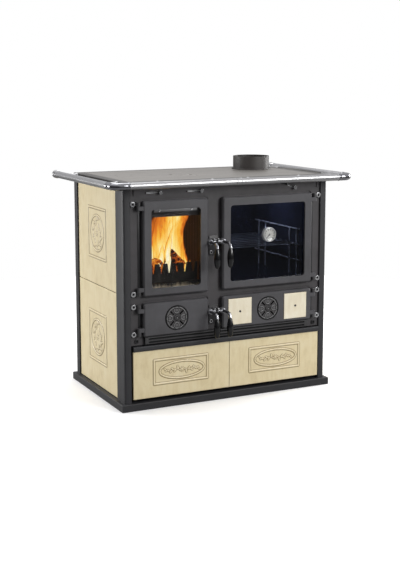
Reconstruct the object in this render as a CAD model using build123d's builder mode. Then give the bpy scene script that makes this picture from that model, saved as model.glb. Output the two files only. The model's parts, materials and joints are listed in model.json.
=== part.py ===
"""Wood-burning range cooker with a glazed firebox door, a glazed oven door, two lower doors and a log drawer.

Millimetres, +Z up. The front faces -Y and +X is to the viewer's right. The origin lies on the floor, in the
middle of the cooker's outline.
"""
import os
from math import cos, degrees, hypot, radians, sin, sqrt

from build123d import *

os.makedirs("parts", exist_ok=True)

# -------------------------------------------------- driving sizes
# body
body_width = 868.0
body_depth = 514.0
hob_height = 850.0
plinth_height = 28.0
plinth_overhang_x = 14.0
plinth_overhang_y = 13.0
plinth_wall = 3.0
sheet = 1.5
post_sheet = 2.5

# rear panel
rear_panel_set_in = 6.0
rear_rib_margin_side = 60.0
rear_rib_margin_end = 70.0
rear_rib_width = 6.0
rear_rib_height = 2.0
rear_vent_width = 120.0
rear_vent_height = 6.0
rear_vent_gap = 120.0
rear_vent_pitch = 18.0
rear_vent_columns = 3
rear_vent_rows = 6
rear_vent_levels = (180.0, 640.0)

# hand rail
rail_radius = 13.5
rail_wall = 1.5
rail_side_offset = 62.0
rail_front_offset = 72.0
rail_rear_reach = 43.5
rail_height = 843.0
rail_corner = 34.0
rail_sleeve_length = 24.0
rail_sleeve_wall = 1.2
rail_bead_length = 5.0
rail_groove_length = 4.0
rail_groove_depth = 2.5
rail_knob_length = 16.0
rail_knob_radius = 16.0
rail_knob_round = 6.0
rail_stay_radius = 7.0
stay_bolt_radius = 5.0
stay_bolt_drop = 8.0
stay_bolt_inset = 9.0
stay_front_x = (-300.0, -75.0, 75.0, 300.0)
stay_front_margin = 45.0
stay_rear_margin = 50.0

# hob
hob_thick = 14.0
hob_overhang_front = 5.0
hob_overhang_side = 2.0
hob_overhang_rear = 1.0
hob_border_side = 44.0
hob_border_front = 42.0
hob_seat = 8.0
hob_plate_thick = 9.0
hob_corner = 6.0
hob_edge_chamfer = 2.0
flue_hole_radius = 68.0
ring_x = -190.0
ring_y = 16.0
ring_radius = 158.0
lid_radius = 100.0
ring_seat = 9.0
ring_thick = 6.0
ring_clearance = 0.5
ring_lifter_angle = -13.0
ring_lifter_circle = 135.0
lid_thick = 3.0
lid_lifter_circle = 60.0
lifter_radius = 9.0
lifter_depth = 2.0

# flue collar
collar_x = 300.0
collar_y = 141.0
collar_bore = 72.5
collar_wall = 2.5
collar_height = 54.0
collar_flange = 81.0
collar_flange_thick = 5.0
collar_flange_round = 2.0

# corner posts and side tiles
post_front_side = 74.0
post_rear_side = 35.0
post_face = 29.0
post_round = 24.0
post_return = 20.0
tile_recess = 3.0
tile_thick = 8.0
tile_gap = 2.0
tile_relief = 2.0
panel_lap = 18.0
relief_band = 6.0
side_relief = (190.0, 196.0)
side_relief_ring = (150.0, 150.0)
drawer_relief = (236.0, 113.0)
drawer_relief_ring = (190.0, 76.0)

# cast front
frame_recess = 8.0
frame_thick = 8.0
frame_bottom = 244.0
frame_pocket = 3.0
pocket_margin = 8.0
opening_margin_side = 20.0
opening_margin_upper = 18.0
opening_margin_lower = 15.0
vent_mark_inset = 15.0
vent_mark_rise = 2.0
vent_mark_width = 4.0
vent_mark_height = 22.0
deflector_bottom = 716.0
deflector_thick = 6.0
deflector_gap = 0.3

# ledge under the doors
ledge_side = 352.0
ledge_gap = 3.0
ledge_height = 28.0
ledge_proud = 12.0
ledge_round = 2.5
groove_height = 6.0
groove_depth = 6.0
groove_pitch = 12.0
groove_margin = 15.0

# doors: the left pair closes on the left of the middle post, the right pair on its right
door_reach = 360.0
post_left = -94.0
post_right = -34.0
upper_bottom = 428.0
upper_top = 780.0
lower_bottom = 277.0
lower_top = 401.0
door_proud = 22.0
door_gap = 1.0
door_corner = 9.0
door_edge_chamfer = 5.0
window_margin_side = 33.0
window_margin_top = 32.0
window_margin_bottom = 28.0
window_corner = 12.0
glass_thick = 4.0
glass_lap = 12.0
glass_depth = 10.0
glass_clearance = 0.5
panel_skin = 9.0
panel_rim = 14.0

# hinges
hinge_pin_radius = 4.0
hinge_pin_clearance = 0.05
hinge_reach = 15.0
hinge_stand_off = 12.0
knuckle_radius = 8.0
knuckle_height = 15.0
knuckle_gap = 0.3
upper_hinge_inset = 3.0
bracket_foot = 21.0
bracket_foot_thick = 5.0
bracket_web = 4.0
bracket_screw_inset = 9.0

# door handles
spindle_radius = 6.0
spindle_clearance = 0.05
spindle_rise_upper = 186.0
spindle_rise_lower = 72.0
handle_overhang_left = 6.0
handle_overhang_right = 1.0
boss_radius = 13.0
boss_web = 10.0
boss_thick = 12.0
washer_radius = 10.0
washer_pocket = 2.0
washer_thick = 4.0
washer_gap = 0.3
tongue_height = 9.0
tongue_thick = 6.0
tongue_reach_left = 22.0
tongue_reach_right = 29.0
grip_stand_off = 58.5
neck_radius = 5.0
neck_bend = 16.5
grip_top_drop = 17.0
grip_length = 75.0
grip_radius = 12.5
grip_top_radius = 6.0
grip_belly_drop = 38.0
grip_foot_radius = 8.5
grip_foot_rise = 7.0
tang_radius = 3.5
tang_length = 25.0
tang_clearance = 0.1

# latch keepers on the middle post
keeper_width = 40.0
keeper_height = 76.0
keeper_thick = 3.0
keeper_drop = 16.0
stud_radius = 4.0
stud_spread = 16.0
stud_gap = 0.3
stud_proud = 1.0
keeper_screw_spread = 24.0
keeper_screw_drop = 41.0

# round air registers
register_radius = 46.0
register_groove = 2.0
register_depth = 4.0
register_gap = 0.3
register_pin_radius = 3.0
register_slot_width = 6.0
register_slot_length = 22.0
register_slot_radius = 28.0
register_hub_radius = 9.0
register_hub_height = 2.5
register_rim = 3.0
register_rim_inset = 1.0
register_hub_pocket = 5.5
petal_length = 26.0
petal_width = 18.0
petal_band = 2.2
petal_height = 1.2

# small tiles on the lower right door
small_tile = 101.0
small_tile_spread = 246.0
small_tile_thick = 6.0
small_tile_pocket = 4.0
small_tile_gap = 1.0
tile_screw_radius = 3.0
tile_screw_head_radius = 4.5
tile_screw_head_height = 1.5

# clip that holds the firebox glass
clip_height = 12.0
clip_thick = 3.0
clip_screw_spread = 130.0
clip_screw_radius = 4.0

# screws
screw_head_radius = 6.8
screw_head_height = 5.0
socket_radius = 3.6
socket_depth = 3.0
ledge_bolt_set_out = 30.0

# air and damper controls in the top strip
control_height = 808.0
air_knob_left = -285.0
air_knob_right = -118.0
air_travel = 55.0
slot_width = 7.0
slot_end_gap = 0.5
stem_radius = 3.0
knob_radius = 7.0
knob_length = 8.0
knob_neck_radius = 4.2
knob_neck_length = 6.0
shutter_length = 98.0
shutter_height = 24.0
shutter_thick = 2.0
slide_gap = 0.3
damper_x = 206.0
damper_z = 667.0
damper_radius = 158.0
damper_angle = 30.8
damper_travel = 21.0
damper_band = 14.0
damper_half_angle = 10.0

# firebox
shell_wall = 3.0
lining_set_back = 15.0
lining_thick = 28.0
lining_joint = 0.3
lining_top = 790.0
rib_depth = 4.0
rib_width = 7.0
rib_pitch = 14.0
firebox_floor_level = 440.0
firebox_floor_thick = 8.0
firebox_depth = 410.0
grate_width = 206.0
grate_depth = 220.0
grate_thick = 12.0
grate_lap = 8.0
grate_flange = 4.0
grate_clearance = 0.5
grate_y = 0.0
grate_slot_count = 9
grate_slot_pitch = 20.0
grate_slot_width = 9.0
grate_slot_margin = 25.0
guard_height = 94.0
guard_thick = 8.0
guard_set_back = 34.0
guard_end_gap = 2.0
guard_slot_count = 7
guard_slot_pitch = 32.5
guard_slot_depth = 36.0
guard_slot_top = 16.0
guard_slot_bottom = 5.0
sill_height = 28.0
sill_depth = 24.0
log_gap = 0.3
log_set_back = 4.0
left_log_radius = 62.0
left_log_length = 290.0
right_log_radius = 50.0
right_log_length = 270.0
quarter_log_radius = 104.0
quarter_log_length = 250.0
round_log_radius = 35.0
round_log_length = 230.0

# oven
oven_wall = 2.0
oven_depth = 420.0
oven_flange = 12.0
wire_radius = 2.5
wire_gap = 0.3
ladder_upright_places = (50.0, 105.0, 300.0, 355.0)
rung_place = (25.0, 380.0)
rung_set_in = 4.0
rung_low = 62.0
rung_count = 3
rung_pitch = 62.0
shelf_side_gap = 7.5
shelf_end_gap = 10.0
shelf_bar_count = 9
shelf_rail_inset = 30.0

# ash compartment
mid_floor_level = 290.0
mid_floor_thick = 6.0
ash_pan_height = 62.0
ash_pan_depth = 380.0
ash_pan_clearance = 5.0
ash_lip_width = 124.0
ash_lip_drop = 8.0
ash_lip_reach = 10.0

# log drawer
drawer_gap_side = 5.0
drawer_panel_thick = 2.0
drawer_tile_joint = 1.2
drawer_gap_bottom = 13.0
drawer_gap_top = 2.0
drawer_proud = 6.0
drawer_trim_height = 19.0
drawer_trim_lip = 4.0
drawer_trim_round = 3.6
drawer_box_width = 760.0
drawer_box_depth = 420.0
drawer_box_bottom = 58.0
drawer_box_top = 196.0
drawer_flange = 12.0
runner_thick = 2.0
runner_lap = 8.0
runner_gap = 0.3
runner_leg = 28.0

# oven thermometer
gauge_x = 166.0
gauge_z = 628.0
gauge_radius = 28.0
gauge_depth = 16.0
gauge_dial_sink = 4.0
gauge_bezel = 3.0
gauge_stem_radius = 4.0
gauge_stem_length = 36.0
gauge_hole_clearance = 0.3
needle_length = 21.0
needle_width = 2.4
needle_tip_width = 0.8
needle_thick = 1.0
needle_gap = 0.3
needle_hub_radius = 3.0
needle_pin_radius = 1.2
needle_pin_sink = 1.0
needle_rest_angle = 225.0

# -------------------------------------------------- places worked out from the sizes
body_mid_y = (rail_front_offset + rail_radius + rail_sleeve_wall - rail_rear_reach) / 2
body_side = body_width / 2
body_front = body_mid_y - body_depth / 2
body_back = body_mid_y + body_depth / 2
body_top = hob_height - hob_thick

frame_front = body_front + frame_recess
frame_back = frame_front + frame_thick
frame_side = body_side - post_face
rear_panel_back = body_back - rear_panel_set_in
door_face = frame_front - door_proud
door_back = frame_front - door_gap
door_thick = door_back - door_face

tile_face_x = body_side - tile_recess
tile_back_x = tile_face_x - tile_thick
panel_inner_x = tile_back_x - sheet
tile_front_y = body_front + post_front_side + tile_gap
tile_rear_y = body_back - post_rear_side - tile_gap
tile_height = (body_top - plinth_height - 3 * tile_gap) / 2

left_door = (-door_reach, post_left)
right_door = (post_right, door_reach)
firebox_x = (left_door[0] + lining_set_back, left_door[1] - lining_set_back)
upper_span = (upper_bottom, upper_top)
lower_span = (lower_bottom, lower_top)

hinge_x = door_reach + hinge_reach
hinge_y = frame_front - hinge_stand_off
spindle_left = post_left + handle_overhang_left
spindle_right = post_right + handle_overhang_right
spindle_upper = upper_bottom + spindle_rise_upper
spindle_lower = lower_bottom + spindle_rise_lower
boss_back = door_face + boss_thick
collar_front = door_face - washer_gap - washer_thick
tongue_front = collar_front - tongue_thick
grip_y = door_face - grip_stand_off
stud_height = tongue_height / 2 + stud_gap + stud_radius
keeper_x = (post_left + post_right) / 2

ring_bottom = hob_height - ring_thick
glass_front = door_face + glass_depth
mid_floor_bottom = mid_floor_level - mid_floor_thick
floor_bottom = firebox_floor_level - firebox_floor_thick
drawer_front_y = body_front - drawer_proud
drawer_face_side = frame_side - drawer_gap_side
drawer_bottom_z = plinth_height + drawer_gap_bottom
drawer_top_z = frame_bottom - drawer_gap_top
drawer_tile_top = drawer_top_z - drawer_trim_height


# -------------------------------------------------- helpers
def finish(piece, name):
    """Labels a finished piece and writes it to its own file."""
    piece.part.label = name
    export_step(piece.part, f"parts/{name}.step")


def front(y):
    """The upright plane at depth y, seen from the front: X to the right, Z up, its normal to the viewer."""
    return Plane.XZ.offset(-y)


def slab(x, y, z, mode=Mode.ADD):
    """A block between two limits along each axis."""
    with Locations((middle(x), middle(y), middle(z))):
        Box(x[1] - x[0], y[1] - y[0], z[1] - z[0], mode=mode)


def disc(x, z, radius, y_back, y_front, mode=Mode.ADD):
    """A round bar along Y, from its back to its front."""
    with BuildSketch(front(y_back)) as outline:
        with Locations((x, z)):
            Circle(radius)
    extrude(outline.sketch, amount=y_back - y_front, mode=mode)


def plate(x, z, corner, y_back, y_front, mode=Mode.ADD):
    """An upright plate with rounded corners, between two limits along X and along Z."""
    with BuildSketch(front(y_back)) as outline:
        with Locations((middle(x), middle(z))):
            RectangleRounded(x[1] - x[0], z[1] - z[0], corner)
    extrude(outline.sketch, amount=y_back - y_front, mode=mode)


def upright(x, y, radius, z_low, z_high, mode=Mode.ADD):
    """A round bar along Z."""
    with BuildSketch(Plane.XY.offset(z_low)) as outline:
        with Locations((x, y)):
            Circle(radius)
    extrude(outline.sketch, amount=z_high - z_low, mode=mode)


def inset(span, amount):
    """The span drawn in by the same amount at both ends."""
    return span[0] + amount, span[1] - amount


def middle(span):
    """The middle of a span."""
    return (span[0] + span[1]) / 2


# -------------------------------------------------- plinth
plinth_x = body_side + plinth_overhang_x
plinth_y = (body_front - plinth_overhang_y, body_back + plinth_overhang_y)

with BuildPart() as plinth:
    slab((-plinth_x, plinth_x), plinth_y, (0, plinth_height))
    chamfer(plinth.faces().sort_by(Axis.Z)[-1].edges(), plinth_wall / 2)
    slab(
        (-plinth_x + plinth_wall, plinth_x - plinth_wall),
        inset(plinth_y, plinth_wall),
        (0, plinth_height - plinth_wall),
        mode=Mode.SUBTRACT,
    )
finish(plinth, "plinth")


# -------------------------------------------------- corner posts: folded sheet, open inwards
def corner_post(side, corner_y, tile_y, inward):
    """One folded post: a side flange, a rounded corner, a face flange and two returns.

    side is -1 or 1, corner_y the outer face in depth, tile_y the end next to the tiles and inward the
    direction from the corner towards the tiles.
    """
    outer_x = side * body_side
    face_x = side * frame_side
    with BuildSketch(Plane.XY.offset(plinth_height)) as section:
        with BuildLine():
            FilletPolyline(
                (side * tile_back_x, tile_y),
                (outer_x, tile_y),
                (outer_x, corner_y),
                (face_x, corner_y),
                (face_x, corner_y + inward * post_return),
                radius=[post_sheet, post_round, post_sheet],
            )
            inner = Side.LEFT if side * inward < 0 else Side.RIGHT
            offset(amount=post_sheet, side=inner)
        make_face()
    extrude(section.sketch, amount=body_top - plinth_height)


with BuildPart() as front_columns:
    for side in (-1, 1):
        corner_post(side, body_front, body_front + post_front_side, 1)
finish(front_columns, "front_columns")

with BuildPart() as rear_columns:
    for side in (-1, 1):
        corner_post(side, body_back, body_back - post_rear_side, -1)
finish(rear_columns, "rear_columns")


# -------------------------------------------------- side panels and tiles
def relief(x_mid, z_mid, border, ring):
    """A raised rectangular border round a raised oval ring, drawn on the current sketch plane."""
    with Locations((x_mid, z_mid)):
        Rectangle(*border)
        Rectangle(border[0] - 2 * relief_band, border[1] - 2 * relief_band, mode=Mode.SUBTRACT)
        Ellipse(ring[0] / 2, ring[1] / 2)
        Ellipse(ring[0] / 2 - relief_band, ring[1] / 2 - relief_band, mode=Mode.SUBTRACT)


def side_tile(side, low):
    """One side tile standing at the given height, with its raised frame and ring."""
    y_span = (tile_front_y, tile_rear_y)
    slab(sorted((side * tile_back_x, side * (tile_face_x - tile_relief))), y_span, (low, low + tile_height))
    with BuildSketch(Plane.YZ.offset(side * (tile_face_x - tile_relief))) as raised:
        relief(middle(y_span), low + tile_height / 2, side_relief, side_relief_ring)
    extrude(raised.sketch, amount=side * tile_relief)


tile_levels = [plinth_height + tile_gap, plinth_height + 2 * tile_gap + tile_height]

with BuildPart() as side_panels:
    for side in (-1, 1):
        slab(
            sorted((side * panel_inner_x, side * tile_back_x)),
            (tile_front_y - panel_lap, tile_rear_y + panel_lap),
            (plinth_height, body_top),
        )
finish(side_panels, "side_panels")

with BuildPart() as side_tiles_left:
    for level in tile_levels:
        side_tile(-1, level)
finish(side_tiles_left, "side_tiles_left")

with BuildPart() as side_tiles_right:
    for level in tile_levels:
        side_tile(1, level)
finish(side_tiles_right, "side_tiles_right")

# -------------------------------------------------- rear panel: sheet with vents and a stiffening rib
with BuildPart() as rear_panel:
    slab(
        (-frame_side, frame_side),
        (rear_panel_back - sheet, rear_panel_back),
        (plinth_height, body_top),
    )
    rib_width = 2 * (frame_side - rear_rib_margin_side)
    rib_height = body_top - plinth_height - 2 * rear_rib_margin_end
    with BuildSketch(front(rear_panel_back)):
        with Locations((0, (plinth_height + body_top) / 2)):
            Rectangle(rib_width, rib_height)
            Rectangle(rib_width - 2 * rear_rib_width, rib_height - 2 * rear_rib_width, mode=Mode.SUBTRACT)
    extrude(amount=-rear_rib_height)
    vent_pitch = rear_vent_width + rear_vent_gap
    for vent_z in rear_vent_levels:
        with BuildSketch(front(rear_panel_back)):
            with Locations((0, vent_z)):
                with GridLocations(vent_pitch, rear_vent_pitch, rear_vent_columns, rear_vent_rows):
                    SlotOverall(rear_vent_width, rear_vent_height)
        extrude(amount=sheet, mode=Mode.SUBTRACT)
finish(rear_panel, "rear_panel")

# -------------------------------------------------- cast front: four openings, slots, and a lip over the fire
opening_left_x = inset(left_door, opening_margin_side)
opening_right_x = inset(right_door, opening_margin_side)
opening_upper_z = inset(upper_span, opening_margin_upper)
opening_lower_z = inset(lower_span, opening_margin_lower)
slot_run_out = stem_radius + slot_end_gap
vent_mark_x = frame_side - vent_mark_inset
vent_mark_z = control_height + vent_mark_rise


def damper_point(angle):
    """A point on the damper's circle, at an angle from the vertical towards +X."""
    return (
        damper_x + damper_radius * sin(radians(angle)),
        damper_z + damper_radius * cos(radians(angle)),
    )


with BuildPart() as front_frame:
    slab((-frame_side, frame_side), (frame_front, frame_back), (frame_bottom, body_top))
    for door_x in (left_door, right_door):
        for door_z in (upper_span, lower_span):
            plate(
                inset(door_x, -pocket_margin),
                inset(door_z, -pocket_margin),
                door_corner + pocket_margin,
                frame_front + frame_pocket,
                frame_front,
                mode=Mode.SUBTRACT,
            )
    for opening_x in (opening_left_x, opening_right_x):
        for opening_z in (opening_upper_z, opening_lower_z):
            plate(opening_x, opening_z, door_corner, frame_back, frame_front, mode=Mode.SUBTRACT)
    with BuildSketch(front(frame_back)):
        for knob_x in (air_knob_left, air_knob_right):
            with Locations((knob_x - air_travel / 2, control_height)):
                SlotOverall(air_travel + 2 * slot_run_out, slot_width)
        end_angle = degrees(slot_run_out / damper_radius)
        with BuildLine():
            ThreePointArc(
                damper_point(damper_angle - damper_travel - end_angle),
                damper_point(damper_angle - damper_travel / 2),
                damper_point(damper_angle + end_angle),
            )
        trace(line_width=slot_width)
        with Locations((-vent_mark_x, vent_mark_z), (vent_mark_x, vent_mark_z)):
            Rectangle(vent_mark_width, vent_mark_height)
    extrude(amount=frame_thick, mode=Mode.SUBTRACT)
    slab(
        inset(firebox_x, deflector_gap),
        (frame_back, frame_back + deflector_thick),
        (deflector_bottom, lining_top),
    )
finish(front_frame, "front_frame")

# -------------------------------------------------- ledge under the doors, with two long air grooves
ledge_top = lower_bottom - ledge_gap
ledge_front = frame_front - ledge_proud
with BuildPart() as front_ledge:
    slab((-ledge_side, ledge_side), (ledge_front, frame_front), (ledge_top - ledge_height, ledge_top))
    fillet(front_ledge.faces().sort_by(Axis.Y)[0].edges(), ledge_round)
    with BuildSketch(front(ledge_front)):
        with Locations((0, ledge_top - ledge_height / 2)):
            with GridLocations(0, groove_pitch, 1, 2):
                SlotOverall(2 * (ledge_side - groove_margin), groove_height)
    extrude(amount=-groove_depth, mode=Mode.SUBTRACT)
finish(front_ledge, "front_ledge")

# -------------------------------------------------- hob: border frame, plate, ring and lid
hob_x = body_side + hob_overhang_side
hob_y = (body_front - hob_overhang_front, body_back + hob_overhang_rear)
hob_plate_x = hob_x - hob_border_side + hob_seat
hob_plate_y = inset(hob_y, hob_border_front - hob_seat)
plate_bottom = hob_height - hob_plate_thick

with BuildPart() as hob_frame:
    slab((-hob_x, hob_x), hob_y, (body_top, hob_height))
    fillet(hob_frame.edges().filter_by(Axis.Z), hob_corner)
    chamfer(hob_frame.faces().sort_by(Axis.Z)[-1].edges(), hob_edge_chamfer)
    slab(
        (-hob_plate_x - ring_clearance, hob_plate_x + ring_clearance),
        inset(hob_plate_y, -ring_clearance),
        (plate_bottom, hob_height),
        mode=Mode.SUBTRACT,
    )
    slab(
        (-hob_plate_x + hob_seat, hob_plate_x - hob_seat),
        inset(hob_plate_y, hob_seat),
        (body_top, plate_bottom),
        mode=Mode.SUBTRACT,
    )
finish(hob_frame, "hob_frame")

with BuildPart() as hob_plate:
    slab((-hob_plate_x, hob_plate_x), hob_plate_y, (plate_bottom, hob_height))
    upright(ring_x, ring_y, ring_radius + ring_clearance, ring_bottom, hob_height, mode=Mode.SUBTRACT)
    upright(ring_x, ring_y, ring_radius - ring_seat, plate_bottom, ring_bottom, mode=Mode.SUBTRACT)
    upright(collar_x, collar_y, flue_hole_radius, plate_bottom, hob_height, mode=Mode.SUBTRACT)
finish(hob_plate, "hob_plate")

lid_bottom = hob_height - lid_thick

with BuildPart() as hob_ring:
    upright(ring_x, ring_y, ring_radius, ring_bottom, hob_height)
    upright(ring_x, ring_y, lid_radius + ring_clearance, lid_bottom, hob_height, mode=Mode.SUBTRACT)
    upright(ring_x, ring_y, lid_radius - ring_seat, ring_bottom, lid_bottom, mode=Mode.SUBTRACT)
    upright(
        ring_x + ring_lifter_circle * cos(radians(ring_lifter_angle)),
        ring_y + ring_lifter_circle * sin(radians(ring_lifter_angle)),
        lifter_radius,
        hob_height - lifter_depth,
        hob_height,
        mode=Mode.SUBTRACT,
    )
finish(hob_ring, "hob_ring")

with BuildPart() as hob_lid:
    upright(ring_x, ring_y, lid_radius, lid_bottom, hob_height)
    upright(ring_x, ring_y, lid_radius - ring_seat - ring_clearance, ring_bottom, lid_bottom)
    upright(
        ring_x + lid_lifter_circle,
        ring_y,
        lifter_radius,
        hob_height - lifter_depth,
        hob_height,
        mode=Mode.SUBTRACT,
    )
finish(hob_lid, "hob_lid")

# -------------------------------------------------- flue collar
with BuildPart() as flue_collar:
    upright(collar_x, collar_y, collar_flange, hob_height, hob_height + collar_flange_thick)
    fillet(flue_collar.faces().sort_by(Axis.Z)[-1].edges(), collar_flange_round)
    upright(collar_x, collar_y, collar_bore + collar_wall, hob_height, hob_height + collar_height)
    upright(collar_x, collar_y, collar_bore, hob_height, hob_height + collar_height, mode=Mode.SUBTRACT)
finish(flue_collar, "flue_collar")

# -------------------------------------------------- hand rail: two bent tubes, a middle sleeve, end knobs
rail_side = body_side + rail_side_offset
rail_front = body_front - rail_front_offset
rail_beads = (
    (rail_radius, rail_bead_length),
    (rail_radius - rail_groove_depth, rail_groove_length),
    (rail_knob_radius, rail_bead_length),
    (rail_radius - rail_groove_depth, rail_groove_length),
    (rail_knob_radius, rail_knob_length),
)
rail_end = body_back + rail_rear_reach - sum(length for radius, length in rail_beads)


def bent_rail(side):
    """One half of the rail: from the rear end, round the front corner to the middle of the front."""
    with BuildLine(Plane.XY.offset(rail_height)) as route:
        FilletPolyline(
            (side * rail_side, rail_end),
            (side * rail_side, rail_front),
            (0, rail_front),
            radius=rail_corner,
        )
    with BuildSketch(Plane(origin=(side * rail_side, rail_end, rail_height), z_dir=(0, -1, 0))) as section:
        Circle(rail_radius)
        Circle(rail_radius - rail_wall, mode=Mode.SUBTRACT)
    sweep(section.sketch, path=route.wires()[0])


with BuildPart() as rail_left:
    bent_rail(-1)
finish(rail_left, "rail_left")

with BuildPart() as rail_right:
    bent_rail(1)
finish(rail_right, "rail_right")


def end_knob(side):
    """A turned end knob on the end of a tube: two beads and a domed end, with grooves between them."""
    start = rail_end
    for radius, length in rail_beads:
        disc(side * rail_side, rail_height, radius, start + length, start)
        start += length


with BuildPart() as rail_fittings:
    for side in (-1, 1):
        end_knob(side)
    fillet(rail_fittings.edges().filter_by(GeomType.CIRCLE).group_by(Axis.Y)[-1], rail_knob_round)
    with BuildSketch(Plane.YZ.offset(-rail_sleeve_length / 2)):
        with Locations((rail_front, rail_height)):
            Circle(rail_radius + rail_sleeve_wall)
            Circle(rail_radius, mode=Mode.SUBTRACT)
    extrude(amount=rail_sleeve_length)
finish(rail_fittings, "rail_fittings")

stay_side_y = (body_front + stay_front_margin, body_back - stay_rear_margin)


def stay_bolt(x, y):
    """The bolt that clamps a stay to the tube, seen as a round head below the stay."""
    upright(x, y, stay_bolt_radius, rail_height - rail_stay_radius - stay_bolt_drop, rail_height)


with BuildPart() as rail_brackets:
    for side in (-1, 1):
        for stay_y in stay_side_y:
            with BuildSketch(Plane.YZ.offset(side * hob_x)):
                with Locations((stay_y, rail_height)):
                    Circle(rail_stay_radius)
            extrude(amount=side * (rail_side - rail_radius - hob_x))
            stay_bolt(side * (rail_side - rail_radius - stay_bolt_inset), stay_y)
    for stay_x in stay_front_x:
        disc(stay_x, rail_height, rail_stay_radius, hob_y[0], rail_front + rail_radius)
        stay_bolt(stay_x, rail_front + rail_radius + stay_bolt_inset)
    fillet(rail_brackets.faces().sort_by(Axis.Z)[: len(stay_front_x) + 4].edges(), stay_bolt_radius / 2)
finish(rail_brackets, "rail_brackets")

# -------------------------------------------------- hinge brackets, pins and screws
upper_hinges = ((upper_top - upper_hinge_inset, -1), (upper_bottom + upper_hinge_inset, 1))
lower_hinges = ((lower_top - upper_hinge_inset, -1), (lower_bottom + upper_hinge_inset, 1))
all_hinges = upper_hinges + lower_hinges
foot_x = (hinge_x + knuckle_radius, hinge_x + knuckle_radius + bracket_foot)
bracket_screw_x = foot_x[1] - bracket_screw_inset


def bracket_span(hinge):
    """The limits of a bracket's knuckle: hinge is its outer end and the direction to the door's lug."""
    outer, inward = hinge
    return tuple(sorted((outer, outer + inward * knuckle_height)))


def lug_span(hinge):
    """Low and high limits of the door's lug next to that bracket."""
    outer, inward = hinge
    start = outer + inward * (knuckle_height + knuckle_gap)
    return tuple(sorted((start, start + inward * knuckle_height)))


with BuildPart() as hinge_brackets:
    for side in (-1, 1):
        for hinge in all_hinges:
            z_span = bracket_span(hinge)
            slab(
                sorted((side * foot_x[0], side * foot_x[1])),
                (frame_front - bracket_foot_thick, frame_front),
                z_span,
            )
            slab(
                sorted((side * hinge_x, side * foot_x[0])),
                (hinge_y - bracket_web, frame_front),
                z_span,
            )
            upright(side * hinge_x, hinge_y, knuckle_radius, *z_span)
            upright(side * hinge_x, hinge_y, hinge_pin_radius, *z_span, mode=Mode.SUBTRACT)
finish(hinge_brackets, "hinge_brackets")

with BuildPart() as hinge_pins:
    for side in (-1, 1):
        for hinge in all_hinges:
            z_ends = bracket_span(hinge) + lug_span(hinge)
            upright(side * hinge_x, hinge_y, hinge_pin_radius, min(z_ends), max(z_ends))
finish(hinge_pins, "hinge_pins")

# -------------------------------------------------- latch keepers: a plate with two studs
keeper_levels = (spindle_upper, spindle_lower)
stud_front = tongue_front - stud_proud
stud_left = keeper_x - stud_spread / 2
stud_right = keeper_x + stud_spread / 2

with BuildPart() as latch_keepers:
    for level in keeper_levels:
        plate(
            (keeper_x - keeper_width / 2, keeper_x + keeper_width / 2),
            (level - keeper_drop - keeper_height / 2, level - keeper_drop + keeper_height / 2),
            keeper_thick,
            frame_front,
            frame_front - keeper_thick,
        )
        for stud_x in (stud_left, stud_right):
            disc(stud_x, level + stud_height, stud_radius, frame_front - keeper_thick, stud_front)
finish(latch_keepers, "latch_keepers")


def screw(x, z, y_seat):
    """A cap screw's head with its hexagon socket, seated at depth y_seat."""
    disc(x, z, screw_head_radius, y_seat, y_seat - screw_head_height)
    with BuildSketch(front(y_seat - screw_head_height)) as socket:
        with Locations((x, z)):
            RegularPolygon(socket_radius, 6)
    extrude(socket.sketch, amount=-socket_depth, mode=Mode.SUBTRACT)


ledge_bolt_x = ledge_side + ledge_bolt_set_out

with BuildPart() as frame_screws:
    for side in (-1, 1):
        for hinge in all_hinges:
            screw(side * bracket_screw_x, middle(bracket_span(hinge)), frame_front - bracket_foot_thick)
        screw(side * ledge_bolt_x, ledge_top - ledge_height / 2, frame_front)
        for level in keeper_levels:
            screw_x = keeper_x + side * keeper_screw_spread / 2
            screw(screw_x, level - keeper_screw_drop, frame_front - keeper_thick)
finish(frame_screws, "frame_screws")


# -------------------------------------------------- doors
def hinge_lugs(side, hinges):
    """The two lugs that carry a door on its hinge pins."""
    edge = side * (door_reach - door_edge_chamfer)
    for hinge in hinges:
        z_span = lug_span(hinge)
        slab(sorted((edge, side * hinge_x)), (hinge_y - knuckle_radius, hinge_y + knuckle_radius), z_span)
        upright(side * hinge_x, hinge_y, knuckle_radius, *z_span)
    for hinge in hinges:
        bore = hinge_pin_radius + hinge_pin_clearance
        upright(side * hinge_x, hinge_y, bore, *lug_span(hinge), mode=Mode.SUBTRACT)


def spindle_boss(x, z, edge):
    """The boss at the door's free edge that carries the handle's spindle, bored and pocketed for it."""
    slab(
        sorted((x, edge)),
        (door_face, boss_back),
        (z - boss_web, z + boss_web),
    )
    disc(x, z, boss_radius, boss_back, door_face)
    disc(x, z, washer_radius + washer_pocket, door_back, boss_back, mode=Mode.SUBTRACT)
    disc(x, z, spindle_radius + spindle_clearance, boss_back, door_face, mode=Mode.SUBTRACT)


def door_block(span_x, span_z):
    """The door's casting before it is cut: a plate with rounded corners and a chamfered face."""
    with BuildSketch(front(door_back)) as outline:
        with Locations((middle(span_x), middle(span_z))):
            RectangleRounded(span_x[1] - span_x[0], span_z[1] - span_z[0], door_corner)
    extrude(outline.sketch, amount=door_thick - door_edge_chamfer)
    raised = outline.sketch.moved(Pos(0, door_edge_chamfer - door_thick, 0))
    extrude(raised, amount=door_edge_chamfer, taper=45)


def window_limits(span_x):
    """The window of an upper door, along X and along Z."""
    return inset(span_x, window_margin_side), (
        upper_bottom + window_margin_bottom,
        upper_top - window_margin_top,
    )


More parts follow.
